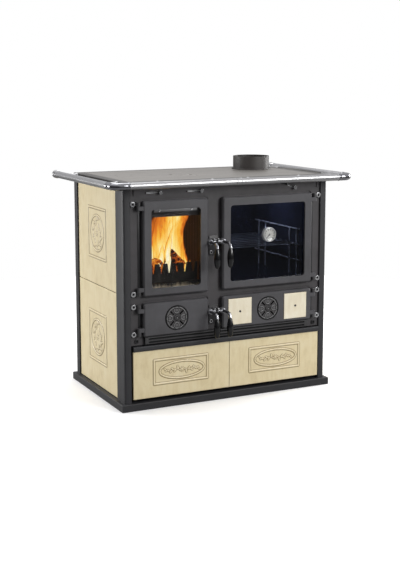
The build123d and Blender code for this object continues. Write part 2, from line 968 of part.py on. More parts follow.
def glazed_door(span_x, side, spindle_x, edge):
    """An upper door: a cast frame with a window, a rebate for the glass, hinge lugs and a handle boss."""
    window_x, window_z = window_limits(span_x)
    lap = glass_lap + glass_clearance
    door_block(span_x, upper_span)
    plate(window_x, window_z, window_corner, door_back, door_face, mode=Mode.SUBTRACT)
    slab(inset(window_x, -lap), (glass_front, door_back), inset(window_z, -lap), mode=Mode.SUBTRACT)
    hinge_lugs(side, upper_hinges)
    spindle_boss(spindle_x, spindle_upper, edge)


def panel_door(span_x, side, spindle_x, edge):
    """A lower door: a cast panel, hollow behind, with a recess, a pin and four slots for the air register."""
    x, z = middle(span_x), middle(lower_span)
    floor = door_face + register_depth + register_gap
    door_block(span_x, lower_span)
    slab(
        inset(span_x, panel_rim),
        (door_face + panel_skin, door_back),
        inset(lower_span, panel_rim),
        mode=Mode.SUBTRACT,
    )
    disc(x, z, register_radius + register_groove, floor, door_face, mode=Mode.SUBTRACT)
    disc(x, z, register_pin_radius, floor, door_face)
    register_slots(x, z, door_face + panel_skin, door_face)
    hinge_lugs(side, lower_hinges)
    spindle_boss(spindle_x, spindle_lower, edge)


def register_slots(x, z, y_back, y_front):
    """Four radial slots, one in each quarter."""
    with BuildSketch(front(y_back)) as slots:
        with Locations((x, z)):
            with PolarLocations(register_slot_radius, 4, start_angle=45):
                SlotOverall(register_slot_length, register_slot_width)
    extrude(slots.sketch, amount=y_back - y_front, mode=Mode.SUBTRACT)


with BuildPart() as firebox_door:
    glazed_door(left_door, -1, spindle_left, post_left)
finish(firebox_door, "firebox_door")

with BuildPart() as oven_door:
    glazed_door(right_door, 1, spindle_right, post_right)
finish(oven_door, "oven_door")

with BuildPart() as ash_door:
    panel_door(left_door, -1, spindle_left, post_left)
finish(ash_door, "ash_door")

small_tile_x = [middle(right_door) + side * small_tile_spread / 2 for side in (-1, 1)]
small_tile_z = middle(lower_span)
pocket_half = small_tile / 2 + small_tile_gap

with BuildPart() as lower_door:
    panel_door(right_door, 1, spindle_right, post_right)
    for x in small_tile_x:
        slab(
            (x - pocket_half, x + pocket_half),
            (door_face, door_face + small_tile_pocket),
            (small_tile_z - pocket_half, small_tile_z + pocket_half),
            mode=Mode.SUBTRACT,
        )
finish(lower_door, "lower_door")

small_tile_back = door_face + small_tile_pocket
small_tile_front = small_tile_back - small_tile_thick

with BuildPart() as lower_door_tiles:
    for x in small_tile_x:
        half = small_tile / 2
        slab(
            (x - half, x + half),
            (small_tile_front, small_tile_back),
            (small_tile_z - half, small_tile_z + half),
        )
        disc(x, small_tile_z, tile_screw_radius, small_tile_back, small_tile_front, mode=Mode.SUBTRACT)
finish(lower_door_tiles, "lower_door_tiles")

with BuildPart() as tile_screws:
    for x in small_tile_x:
        disc(x, small_tile_z, tile_screw_radius, small_tile_back, small_tile_front)
        head_front = small_tile_front - tile_screw_head_height
        disc(x, small_tile_z, tile_screw_head_radius, small_tile_front, head_front)
finish(tile_screws, "tile_screws")


# -------------------------------------------------- door glasses
def glass_sheet(span_x):
    """The pane behind an upper door's window."""
    window_x, window_z = window_limits(span_x)
    slab(inset(window_x, -glass_lap), (glass_front, glass_front + glass_thick), inset(window_z, -glass_lap))


with BuildPart() as firebox_glass:
    glass_sheet(left_door)
finish(firebox_glass, "firebox_glass")

with BuildPart() as oven_glass:
    glass_sheet(right_door)
    gauge_hole = gauge_stem_radius + gauge_hole_clearance
    disc(gauge_x, gauge_z, gauge_hole, glass_front + glass_thick, glass_front, mode=Mode.SUBTRACT)
finish(oven_glass, "oven_glass")

with BuildPart() as firebox_glass_clip:
    clip_x, window_z = window_limits(left_door)
    clip_z = (window_z[1] - clip_height, window_z[1])
    clip_front = glass_front - clip_thick
    slab(inset(clip_x, window_corner), (clip_front, glass_front), clip_z)
    for side in (-1, 1):
        screw_x = middle(clip_x) + side * clip_screw_spread / 2
        disc(screw_x, middle(clip_z), clip_screw_radius, clip_front, clip_front - clip_thick)
finish(firebox_glass_clip, "firebox_glass_clip")


# -------------------------------------------------- door handles: cast lever and turned grip
def lever(x, z, side, reach):
    """A handle's lever: washer, spindle, collar and latch tongue in one piece with the bent neck.

    side is the direction of the tongue and reach the distance from the spindle to its tip.
    """
    disc(x, z, washer_radius, boss_back + washer_gap + washer_thick, boss_back + washer_gap)
    disc(x, z, spindle_radius, boss_back + washer_gap, collar_front)
    disc(x, z, washer_radius, door_face - washer_gap, collar_front)
    disc(x, z, washer_radius, collar_front, tongue_front)
    slab(
        sorted((x, x + side * reach)),
        (tongue_front, collar_front),
        (z - tongue_height / 2, z + tongue_height / 2),
    )
    tang_top = z - grip_top_drop
    tang_end = tang_top - tang_length
    with BuildLine(Plane.YZ.offset(x)) as route:
        FilletPolyline((tongue_front, z), (grip_y, z), (grip_y, tang_end), radius=neck_bend)
    path = route.wires()[0]
    with BuildSketch(Plane(origin=path @ 0, z_dir=path % 0)) as section:
        Circle(neck_radius)
    sweep(section.sketch, path=path)
    turn_down(x, grip_y, tang_radius, neck_radius + tang_clearance, tang_end, tang_top)


def turn_down(x, y, inner, outer, z_low, z_high):
    """Turns an upright bar down: removes the ring between two radii."""
    with BuildSketch(Plane.XY.offset(z_low)) as ring:
        with Locations((x, y)):
            Circle(outer)
            Circle(inner, mode=Mode.SUBTRACT)
    extrude(ring.sketch, amount=z_high - z_low, mode=Mode.SUBTRACT)


def grip(x, z):
    """A spindle-shaped grip, turned about an upright axis, with a bore for the lever's tang."""
    top = z - grip_top_drop
    bottom = top - grip_length
    with BuildSketch(front(grip_y)) as profile:
        with BuildLine():
            Polyline((x, bottom), (x, top), (x + grip_top_radius, top))
            Spline(
                (x + grip_top_radius, top),
                (x + grip_radius, top - grip_belly_drop),
                (x + grip_foot_radius, bottom + grip_foot_rise),
                (x, bottom),
                tangents=((0.3, -1), (-1, 0)),
            )
        make_face()
    revolve(profile.sketch, axis=Axis((x, grip_y, 0), (0, 0, 1)))
    bore_end = top - tang_length - tang_clearance
    upright(x, grip_y, tang_radius + tang_clearance, bore_end, top, mode=Mode.SUBTRACT)


with BuildPart() as firebox_handle:
    lever(spindle_left, spindle_upper, 1, tongue_reach_left)
finish(firebox_handle, "firebox_handle")

with BuildPart() as firebox_grip:
    grip(spindle_left, spindle_upper)
finish(firebox_grip, "firebox_grip")

with BuildPart() as ash_handle:
    lever(spindle_left, spindle_lower, 1, tongue_reach_left)
finish(ash_handle, "ash_handle")

with BuildPart() as ash_grip:
    grip(spindle_left, spindle_lower)
finish(ash_grip, "ash_grip")

with BuildPart() as oven_handle:
    lever(spindle_right, spindle_upper, -1, tongue_reach_right)
finish(oven_handle, "oven_handle")

with BuildPart() as oven_grip:
    grip(spindle_right, spindle_upper)
finish(oven_grip, "oven_grip")

with BuildPart() as lower_handle:
    lever(spindle_right, spindle_lower, -1, tongue_reach_right)
finish(lower_handle, "lower_handle")

with BuildPart() as lower_grip:
    grip(spindle_right, spindle_lower)
finish(lower_grip, "lower_grip")

# -------------------------------------------------- air registers
def register(span_x):
    """A round air register that turns on its pin: four slots, four outlined petals, a rim and a hub."""
    x, z = middle(span_x), middle(lower_span)
    back = door_face + register_depth
    disc(x, z, register_radius, back, door_face)
    with BuildSketch(front(door_face)) as petals:
        with Locations((x, z)):
            with PolarLocations(register_slot_radius, 4):
                Ellipse(petal_length / 2, petal_width / 2)
                Ellipse(petal_length / 2 - petal_band, petal_width / 2 - petal_band, mode=Mode.SUBTRACT)
            Circle(register_radius - register_rim_inset)
            Circle(register_radius - register_rim_inset - register_rim, mode=Mode.SUBTRACT)
    extrude(petals.sketch, amount=petal_height)
    disc(x, z, register_hub_radius, door_face, door_face - register_hub_height)
    disc(x, z, register_hub_pocket, door_face, door_face - register_hub_height, mode=Mode.SUBTRACT)
    register_slots(x, z, back, door_face)
    disc(x, z, register_pin_radius + hinge_pin_clearance, back, door_face, mode=Mode.SUBTRACT)


with BuildPart() as ash_register:
    register(left_door)
finish(ash_register, "ash_register")

with BuildPart() as lower_register:
    register(right_door)
finish(lower_register, "lower_register")

# -------------------------------------------------- air slides and damper slide
slide_back = frame_back + slide_gap
knob_back = frame_front - slide_gap


def control_knob(x, z):
    """A turned knob in front of the cast front, with its stem through the slot."""
    disc(x, z, stem_radius, slide_back, knob_back)
    disc(x, z, knob_neck_radius, knob_back, knob_back - knob_neck_length)
    disc(x, z, knob_radius, knob_back - knob_neck_length, knob_back - knob_neck_length - knob_length)


def air_slide(knob_x):
    """A shutter behind the cast front, moved along its slot by its knob."""
    slab(
        (knob_x - shutter_length / 2, knob_x + shutter_length / 2),
        (slide_back, slide_back + shutter_thick),
        (control_height - shutter_height / 2, control_height + shutter_height / 2),
    )
    control_knob(knob_x, control_height)


with BuildPart() as air_slide_left:
    air_slide(air_knob_left)
finish(air_slide_left, "air_slide_left")

with BuildPart() as air_slide_right:
    air_slide(air_knob_right)
finish(air_slide_right, "air_slide_right")

with BuildPart() as damper_slide:
    with BuildSketch(front(slide_back + shutter_thick)):
        with BuildLine():
            ThreePointArc(
                damper_point(damper_angle - damper_half_angle),
                damper_point(damper_angle),
                damper_point(damper_angle + damper_half_angle),
            )
        trace(line_width=damper_band)
    extrude(amount=shutter_thick)
    control_knob(*damper_point(damper_angle))
finish(damper_slide, "damper_slide")

# -------------------------------------------------- firebox: shell, floor, grate and linings
firebox_y = (frame_back, frame_back + firebox_depth)
lining_x = inset(firebox_x, -lining_thick)
lining_back_y = firebox_y[1] - lining_thick
grate_x = (middle(left_door) - grate_width / 2, middle(left_door) + grate_width / 2)
grate_span = (grate_y - grate_depth / 2, grate_y + grate_depth / 2)

with BuildPart() as firebox_shell:
    slab(
        inset(lining_x, -shell_wall),
        (firebox_y[0], firebox_y[1] + shell_wall),
        (floor_bottom, lining_top),
    )
    slab(lining_x, firebox_y, (floor_bottom, lining_top), mode=Mode.SUBTRACT)
finish(firebox_shell, "firebox_shell")

with BuildPart() as firebox_floor:
    slab(lining_x, firebox_y, (floor_bottom, firebox_floor_level))
    slab(
        inset(grate_x, -grate_clearance),
        inset(grate_span, -grate_clearance),
        (firebox_floor_level - grate_flange, firebox_floor_level),
        mode=Mode.SUBTRACT,
    )
    slab(
        inset(grate_x, grate_lap),
        inset(grate_span, grate_lap),
        (floor_bottom, firebox_floor_level),
        mode=Mode.SUBTRACT,
    )
finish(firebox_floor, "firebox_floor")

with BuildPart() as grate:
    slab(grate_x, grate_span, (firebox_floor_level - grate_flange, firebox_floor_level))
    slab(
        inset(grate_x, grate_lap + grate_clearance),
        inset(grate_span, grate_lap + grate_clearance),
        (firebox_floor_level - grate_thick, firebox_floor_level),
    )
    with BuildSketch(Plane.XY.offset(firebox_floor_level - grate_thick)):
        with Locations((middle(grate_x), grate_y)):
            with GridLocations(grate_slot_pitch, 0, grate_slot_count, 1):
                SlotOverall(grate_depth - 2 * grate_slot_margin, grate_slot_width, rotation=90)
    extrude(amount=grate_thick, mode=Mode.SUBTRACT)
finish(grate, "grate")

with BuildPart() as firebox_linings:
    side_depth = (firebox_y[0], lining_back_y - lining_joint)
    brick_z = (firebox_floor_level, lining_top)
    slab((lining_x[0], firebox_x[0]), side_depth, brick_z)
    slab((firebox_x[1], lining_x[1]), side_depth, brick_z)
    rib_count = int((side_depth[1] - side_depth[0]) / rib_pitch) - 1
    with BuildSketch(Plane.XY.offset(firebox_floor_level)):
        with Locations((firebox_x[1] + rib_depth / 2, middle(side_depth))):
            with GridLocations(0, rib_pitch, 1, rib_count):
                Rectangle(rib_depth, rib_pitch - rib_width)
    extrude(amount=lining_top - firebox_floor_level, mode=Mode.SUBTRACT)
    slab(lining_x, (lining_back_y, firebox_y[1]), brick_z)
    slab(
        inset(firebox_x, lining_joint),
        (frame_back, frame_back + sill_depth),
        (firebox_floor_level, firebox_floor_level + sill_height),
    )
finish(firebox_linings, "firebox_linings")

# -------------------------------------------------- log guard and logs
guard_x = inset(firebox_x, guard_end_gap)
guard_y = frame_back + guard_set_back
guard_top = firebox_floor_level + guard_height

with BuildPart() as log_guard:
    slab(guard_x, (guard_y, guard_y + guard_thick), (firebox_floor_level, guard_top))
    with BuildSketch(front(guard_y + guard_thick)):
        with Locations((middle(guard_x), guard_top - guard_slot_depth)):
            with GridLocations(guard_slot_pitch, 0, guard_slot_count, 1):
                Polygon(
                    (-guard_slot_bottom / 2, 0),
                    (guard_slot_bottom / 2, 0),
                    (guard_slot_top / 2, guard_slot_depth),
                    (-guard_slot_top / 2, guard_slot_depth),
                    align=None,
                )
    extrude(amount=guard_thick, mode=Mode.SUBTRACT)
finish(log_guard, "log_guard")

log_front = guard_y + guard_thick + log_set_back
log_level = firebox_floor_level + log_gap


def resting_on(left, right, radius):
    """Where a round of this radius rests on two others, each given as (x, z, radius)."""
    span_x, span_z = right[0] - left[0], right[1] - left[1]
    span = hypot(span_x, span_z)
    to_left = radius + left[2] + log_gap
    to_right = radius + right[2] + log_gap
    along = (to_left**2 - to_right**2 + span**2) / (2 * span)
    rise = sqrt(to_left**2 - along**2)
    return (
        left[0] + (along * span_x - rise * span_z) / span,
        left[1] + (along * span_z + rise * span_x) / span,
    )


def log_bar(x, z, length, shape):
    """A bar running back from behind the guard; shape draws its cross-section about the point x, z."""
    with BuildSketch(front(log_front + length)) as end:
        with Locations((x, z)):
            shape()
    extrude(end.sketch, amount=length)


def half_round(radius):
    """The upper half of a round."""
    Circle(radius)
    Rectangle(2 * radius, radius, align=(Align.CENTER, Align.MAX), mode=Mode.SUBTRACT)


def quarter_round(radius):
    """A quarter of a round with its edge upwards and its bark below."""
    Circle(radius)
    Polygon((0, 0), (-radius, -radius), (radius, -radius), align=None, mode=Mode.INTERSECT)


left_log = (firebox_x[0] + log_gap + left_log_radius, log_level, left_log_radius)
right_log = (firebox_x[1] - log_gap - right_log_radius, log_level, right_log_radius)
quarter_log_place = resting_on(left_log, right_log, quarter_log_radius)
round_log_x = firebox_x[0] + log_gap + round_log_radius
round_log_reach = left_log_radius + round_log_radius + log_gap
round_log_z = log_level + sqrt(round_log_reach**2 - (left_log[0] - round_log_x) ** 2)

with BuildPart() as logs:
    log_bar(*left_log[:2], left_log_length, lambda: half_round(left_log_radius))
    log_bar(*right_log[:2], right_log_length, lambda: half_round(right_log_radius))
    log_bar(*quarter_log_place, quarter_log_length, lambda: quarter_round(quarter_log_radius))
    log_bar(round_log_x, round_log_z, round_log_length, lambda: Circle(round_log_radius))
finish(logs, "logs")

# -------------------------------------------------- oven box, its side ladders and the wire shelf
oven_x = opening_right_x
oven_z = opening_upper_z
oven_y = (frame_back, frame_back + oven_depth)

with BuildPart() as oven_box:
    slab(inset(oven_x, -oven_wall), oven_y, inset(oven_z, -oven_wall))
    slab(inset(oven_x, -oven_flange), (oven_y[0], oven_y[0] + oven_wall), inset(oven_z, -oven_flange))
    slab(oven_x, (oven_y[0], oven_y[1] - oven_wall), oven_z, mode=Mode.SUBTRACT)
finish(oven_box, "oven_box")

rung_levels = [oven_z[0] + rung_low + k * rung_pitch for k in range(rung_count)]
rung_y = (oven_y[0] + rung_place[0], oven_y[0] + rung_place[1])
shelf_level = rung_levels[1] + 2 * wire_radius + wire_gap

with BuildPart() as oven_ladders:
    for wall_x, inward in ((oven_x[0], 1), (oven_x[1], -1)):
        post_x = wall_x + inward * (wire_radius + wire_gap)
        rung_x = post_x + inward * rung_set_in
        for place in ladder_upright_places:
            upright(post_x, oven_y[0] + place, wire_radius, oven_z[0], rung_levels[-1] + wire_radius)
        for level in rung_levels:
            disc(rung_x, level, wire_radius, rung_y[1], rung_y[0])
finish(oven_ladders, "oven_ladders")

with BuildPart() as oven_shelf:
    shelf_x = inset(oven_x, shelf_side_gap)
    shelf_y = inset(rung_y, shelf_end_gap)
    for k in range(shelf_bar_count):
        bar_y = shelf_y[0] + k * (shelf_y[1] - shelf_y[0]) / (shelf_bar_count - 1)
        with BuildSketch(Plane.YZ.offset(shelf_x[0])):
            with Locations((bar_y, shelf_level)):
                Circle(wire_radius)
        extrude(amount=shelf_x[1] - shelf_x[0])
    for bar_x in inset(shelf_x, shelf_rail_inset):
        disc(bar_x, shelf_level, wire_radius, shelf_y[1], shelf_y[0])
finish(oven_shelf, "oven_shelf")

# -------------------------------------------------- floor of the lower compartments, and the ash pan
with BuildPart() as mid_floor:
    slab(
        (-frame_side, frame_side),
        (frame_back, rear_panel_back - sheet),
        (mid_floor_bottom, mid_floor_level),
    )
    slab(
        (-panel_inner_x, panel_inner_x),
        (tile_front_y, tile_rear_y),
        (mid_floor_bottom, mid_floor_level),
    )
finish(mid_floor, "mid_floor")

ash_pan_x = inset(opening_left_x, ash_pan_clearance)
ash_pan_y = (frame_back, frame_back + ash_pan_depth)
ash_pan_z = (mid_floor_level, mid_floor_level + ash_pan_height)
ash_lip_top = ash_pan_z[1] - ash_lip_drop

with BuildPart() as ash_pan:
    slab(ash_pan_x, ash_pan_y, ash_pan_z)
    slab(
        inset(ash_pan_x, sheet),
        inset(ash_pan_y, sheet),
        (ash_pan_z[0] + sheet, ash_pan_z[1]),
        mode=Mode.SUBTRACT,
    )
    slab(
        (middle(ash_pan_x) - ash_lip_width / 2, middle(ash_pan_x) + ash_lip_width / 2),
        (ash_pan_y[0] - ash_lip_reach, ash_pan_y[0]),
        (ash_lip_top - sheet, ash_lip_top),
    )
finish(ash_pan, "ash_pan")

# -------------------------------------------------- log drawer: box, tiles and runners
drawer_panel_y = (drawer_front_y + tile_thick, drawer_front_y + tile_thick + drawer_panel_thick)
drawer_box_y = (drawer_panel_y[1], drawer_panel_y[1] + drawer_box_depth)
drawer_box_x = drawer_box_width / 2

with BuildPart() as drawer_box:
    slab((-drawer_box_x, drawer_box_x), drawer_box_y, (drawer_box_bottom, drawer_box_top))
    slab(
        (-drawer_box_x - drawer_flange, drawer_box_x + drawer_flange),
        drawer_box_y,
        (drawer_box_top - sheet, drawer_box_top),
    )
    slab(
        (-drawer_box_x + sheet, drawer_box_x - sheet),
        inset(drawer_box_y, sheet),
        (drawer_box_bottom + sheet, drawer_box_top),
        mode=Mode.SUBTRACT,
    )
    slab((-drawer_face_side, drawer_face_side), drawer_panel_y, (drawer_bottom_z, drawer_top_z))
    slab(
        (-drawer_face_side, drawer_face_side),
        (drawer_front_y - drawer_trim_lip, drawer_panel_y[0]),
        (drawer_tile_top, drawer_top_z),
    )
    fillet(drawer_box.edges().filter_by(Axis.X).group_by(Axis.Y)[0], drawer_trim_round)
finish(drawer_box, "drawer_box")

with BuildPart() as drawer_tiles:
    for side in (-1, 1):
        tile_x = sorted((side * drawer_tile_joint / 2, side * drawer_face_side))
        tile_z = (drawer_bottom_z, drawer_tile_top)
        slab(tile_x, (drawer_front_y + tile_relief, drawer_front_y + tile_thick), tile_z)
        with BuildSketch(front(drawer_front_y + tile_relief)):
            relief(middle(tile_x), middle(tile_z), drawer_relief, drawer_relief_ring)
        extrude(amount=tile_relief)
finish(drawer_tiles, "drawer_tiles")

runner_top = drawer_box_top - sheet - runner_gap
runner_inner = drawer_box_x + drawer_flange - runner_lap

with BuildPart() as drawer_runners:
    for side in (-1, 1):
        slab(
            sorted((side * runner_inner, side * panel_inner_x)),
            (tile_front_y, tile_rear_y),
            (runner_top - runner_thick, runner_top),
        )
        slab(
            sorted((side * (panel_inner_x - runner_thick), side * panel_inner_x)),
            (tile_front_y, tile_rear_y),
            (runner_top - runner_leg, runner_top),
        )
finish(drawer_runners, "drawer_runners")

# -------------------------------------------------- oven thermometer and its needle
gauge_front = glass_front - gauge_depth
dial_face = gauge_front + gauge_dial_sink

with BuildPart() as thermometer:
    disc(gauge_x, gauge_z, gauge_radius, glass_front, gauge_front)
    disc(gauge_x, gauge_z, gauge_radius - gauge_bezel, dial_face, gauge_front, mode=Mode.SUBTRACT)
    disc(gauge_x, gauge_z, gauge_stem_radius, glass_front + gauge_stem_length, glass_front)
    disc(gauge_x, gauge_z, needle_pin_radius, dial_face, gauge_front + needle_pin_sink)
finish(thermometer, "thermometer")

with BuildPart() as thermometer_needle:
    with BuildSketch(front(dial_face - needle_gap)):
        with Locations(Location((gauge_x, gauge_z), needle_rest_angle)):
            Polygon(
                (0, -needle_width / 2),
                (needle_length, -needle_tip_width / 2),
                (needle_length, needle_tip_width / 2),
                (0, needle_width / 2),
                align=None,
            )
            Circle(needle_hub_radius)
            Circle(needle_pin_radius + hinge_pin_clearance, mode=Mode.SUBTRACT)
    extrude(amount=needle_thick)
finish(thermometer_needle, "thermometer_needle")
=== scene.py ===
"""Looks of the wood cookstove: its visible pieces, their finishes, the studio and the camera.

Sizes are millimetres in the part's own frame: +Z up, the front faces -Y and +X is to the viewer's right. They
become metres when a piece's mesh is made. A surface is worked out as whole arrays of points: a grid of two
parameters, or a closed loop of points carried from station to station.
"""
import json
import math

import bmesh
import bpy
import numpy as np
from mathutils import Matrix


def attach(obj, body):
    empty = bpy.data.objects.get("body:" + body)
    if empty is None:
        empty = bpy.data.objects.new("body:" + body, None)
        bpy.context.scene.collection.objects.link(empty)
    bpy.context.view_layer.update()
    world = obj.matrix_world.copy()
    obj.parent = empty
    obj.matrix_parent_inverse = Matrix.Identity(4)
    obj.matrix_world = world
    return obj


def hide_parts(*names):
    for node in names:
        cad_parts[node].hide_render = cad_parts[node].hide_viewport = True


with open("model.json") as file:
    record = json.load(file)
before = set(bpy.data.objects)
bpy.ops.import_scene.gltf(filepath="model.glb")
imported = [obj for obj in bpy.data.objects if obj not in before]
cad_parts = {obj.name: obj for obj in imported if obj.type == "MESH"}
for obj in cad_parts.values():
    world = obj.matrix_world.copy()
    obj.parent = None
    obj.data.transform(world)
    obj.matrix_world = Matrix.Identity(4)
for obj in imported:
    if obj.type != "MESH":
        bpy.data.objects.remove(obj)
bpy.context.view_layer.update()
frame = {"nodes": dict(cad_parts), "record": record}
cad = frame["nodes"]
node_bodies = {
    node: body for body, members in frame["record"]["behaviour"]["bodies"].items() for node in members
}

MM = 0.001
MERGE = 1e-6
SIDES = {"left": -1, "right": 1}

# -------------------- sizes shared with the part
body_side = 434.0
body_front = -235.4
body_back = 278.6
frame_front = -227.4
door_face = -249.4
glass_front = -239.4
keeper_front = -230.4
hinge_front = -232.4
lever_levels = (614, 349)
spindles = {
    # door: x, z, side of the tongue, its length
    "firebox": (-88.0, lever_levels[0], 1, 22.0),
    "ash": (-88.0, lever_levels[1], 1, 22.0),
    "oven": (-33.0, lever_levels[0], -1, 29.0),
    "lower": (-33.0, lever_levels[1], -1, 29.0),
}
tongue_front = -259.7
collar_front = -253.7
grip_y = -307.9
grip_drop = 17.0
tile_face_x = 431.0
tile_back_x = 423.0
tile_span_y = (-159.4, 241.6)
tile_height = 401.0
tile_levels = (30.0, 433.0)
drawer_front_y = -241.4
drawer_tile_back = -233.4
drawer_tile_x = (0.6, 400.0)
drawer_tile_z = (41.0, 223.0)
lower_middle = 339.0
small_tile_x = (40.0, 286.0)
small_tile_back = -251.4
small_tile_half = 50.5
small_tile_thickness = 6.0
relief_height = 2.0
border_width = 7.6
ring_width = 6.4
rail_radius = 13.5
rail_side = 496.0
rail_front = -307.4
rail_height = 843.0
rail_corner = 34.0
rail_end = 288.1
bend_x = rail_side - rail_corner
bend_y = rail_front + rail_corner
gauge = (166.0, 628.0)
post_bottom = 28.0
post_top = 836.0
post_tile_y = 243.6
register_centres = {"ash_register": (-227.0, lower_middle), "lower_register": (163.0, lower_middle)}


# -------------------- surfaces
class Shell:
    """A closed surface: points in millimetres, arrays of faces, and named numbers that its points carry."""

    def __init__(self, points, faces, material=0, **numbers):
        self.points = np.asarray(points, float)
        self.faces = faces
        self.material = material
        self.numbers = numbers


def points_of(*parts):
    """Points whose coordinates are the parts, each spread to the same shape."""
    return np.stack(np.broadcast_arrays(*parts), -1)


def full_turn(count):
    """Angles at equal steps all the way round."""
    return np.linspace(0, 2 * np.pi, count, endpoint=False)


def run_along(points):
    """How far along their line each of the points lies."""
    return np.concatenate([[0], np.cumsum(np.linalg.norm(np.diff(points, axis=0), axis=1))])


def smoothed(row, times):
    """A row of numbers averaged with their neighbours, its two ends held."""
    for _ in range(times):
        row[1:-1] = (row[:-2] + 2 * row[1:-1] + row[2:]) / 4
    return row


def grid_quads(rows, columns, wrap_rows=False, wrap_columns=False):
    """The quads of a grid of points numbered row by row: each joins a point to the next in its row and
    column."""
    row, column = np.meshgrid(
        np.arange(rows if wrap_rows else rows - 1),
        np.arange(columns if wrap_columns else columns - 1),
        indexing="ij",
    )
    next_row, next_column = (row + 1) % rows, (column + 1) % columns
    corners = ((row, column), (row, next_column), (next_row, next_column), (next_row, column))
    return np.stack([r * columns + c for r, c in corners], -1).reshape(-1, 4)


def lofted(loops, wrap=False, material=0, **numbers):
    """A surface through closed loops of equal length: neighbours are joined by quads, and the first and the
    last loop are filled, or joined to each other where wrap is set."""
    loops = np.asarray(loops, float)
    rows, columns = loops.shape[:2]
    faces = [grid_quads(rows, columns, wrap, True)]
    if not wrap:
        faces += [np.arange(columns)[None, :], (np.arange(columns) + (rows - 1) * columns)[None, :]]
    return Shell(loops.reshape(-1, 3), faces, material, **numbers)


AXES = {
    "up": ((1, 0, 0), (0, 1, 0), (0, 0, 1)),
    "front": ((1, 0, 0), (0, 0, 1), (0, -1, 0)),
    "back": ((1, 0, 0), (0, 0, 1), (0, 1, 0)),
    "side": ((0, 1, 0), (0, 0, 1), (1, 0, 0)),
}


def rounds(centres, radii, u, v, count, run, **options):
    """A surface of circles: centre + radius * (cos a * u + sin a * v). Its points carry their place on the
    unrolled surface as lay, run being how far along it each circle lies."""
    cosine, sine = np.cos(full_turn(count)), np.sin(full_turn(count))
    loops = centres[:, None, :] + radii[:, :, None] * (cosine[:, None] * u + sine[:, None] * v)
    return lofted(loops, lay=points_of(radii * cosine, radii * sine, run[:, None]), **options)


def turned(profile, centre, axis="up", count=40, **options):
    """A profile of (radius, height) pairs carried round an axis. Each circle's own centre is the centre given
    plus the height along the axis."""
    u, v, w = np.array(AXES[axis], float)
    profile = np.asarray(profile, float)
    centres = np.array(centre, float) + profile[:, 1:] * w
    return rounds(centres, profile[:, :1], u, v, count, run_along(profile), **options)


def swept(path, radii, across, count=24):
    """A round section carried along a path that lies in one plane: across is the plane's normal, and the
    circle's other direction is across times the path's."""
    across = np.array(across, float)
    direction = np.gradient(path, axis=0)
    direction /= np.linalg.norm(direction, axis=1)[:, None]
    side = np.cross(across, direction)[:, None, :]
    radii = np.broadcast_to(radii, len(path))[:, None]
    return rounds(path, radii, across, side, count, run_along(path))


def eased(points, radius, steps=3):
    """A polyline with its corners rounded: each corner gives way to a quadratic Bezier that starts and ends
    at the radius from it, or halfway along a shorter side."""
    points = np.asarray(points, float)
    t = np.linspace(0, 1, steps + 1)[:, None]
    made = [points[:1]]
    for before, corner, after in zip(points, points[1:], points[2:]):
        ways = before - corner, after - corner
        lengths = [np.linalg.norm(way) for way in ways]
        start, end = (
            corner + way / length * min(radius, length * 0.49) for way, length in zip(ways, lengths)
        )
        made.append((1 - t) ** 2 * start + 2 * t * (1 - t) * corner + t**2 * end)
    return np.concatenate([*made, points[-1:]])


def rounded_outline(x, z, corner, steps=5):
    """The outline of a rounded rectangle as (x, z) points: a quarter circle about each corner's centre."""
    angle = np.linspace(0, np.pi / 2, steps + 1)
    low_x, high_x, low_z, high_z = *inset(x, corner), *inset(z, corner)
    centres = ((high_x, high_z), (low_x, high_z), (low_x, low_z), (high_x, low_z))
    return np.concatenate(
        [
            points_of(
                centre_x + corner * np.cos(angle + quarter * np.pi / 2),
                centre_z + corner * np.sin(angle + quarter * np.pi / 2),
            )
            for quarter, (centre_x, centre_z) in enumerate(centres)
        ]
    )


def standing(outline, y):
    """An outline's (x, z) points stood upright at depth y."""
    return points_of(outline[:, 0], y, outline[:, 1])


def inset(span, amount):
    """The span drawn in by the same amount at both ends."""
    return span[0] + amount, span[1] - amount


def soft_plate(x, z, corner, y_back, y_front, edge=1.0, steps=3):
    """An upright rounded plate whose front edge is a quarter circle: at angle a the outline is drawn in by
    edge * (1 - cos a) and stands at y_front + edge * (1 - sin a)."""
    loops = [standing(rounded_outline(x, z, corner), y_back)]
    for a in np.linspace(0, np.pi / 2, steps + 1):
        drawn_in = edge * (1 - math.cos(a))
        outline = rounded_outline(inset(x, drawn_in), inset(z, drawn_in), max(corner - drawn_in, 0.4))
        loops.append(standing(outline, y_front + edge * (1 - math.sin(a))))
    return lofted(loops)


# -------------------- pieces
def new_object(name, data):
    """A new object with this data, linked to the scene."""
    thing = bpy.data.objects.new(name, data)
    bpy.context.scene.collection.objects.link(thing)
    return thing


def set_mesh(mesh, sharp, merge=MERGE, flatten=False):
    """Merges doubles, clears flat faces of their inner edges where flatten is set, turns all faces outwards
    and shades smoothly between sharp edges."""
    work = bmesh.new()
    work.from_mesh(mesh)
    bmesh.ops.remove_doubles(work, verts=work.verts, dist=merge)
    if flatten:
        parts = {"verts": work.verts, "edges": work.edges}
        bmesh.ops.dissolve_limit(work, angle_limit=math.radians(0.4), use_dissolve_boundaries=False, **parts)
    bmesh.ops.recalc_face_normals(work, faces=work.faces)
    work.to_mesh(mesh)
    work.free()
    mesh.polygons.foreach_set("use_smooth", np.ones(len(mesh.polygons), bool))
    mesh.set_sharp_from_angle(angle=math.radians(sharp))


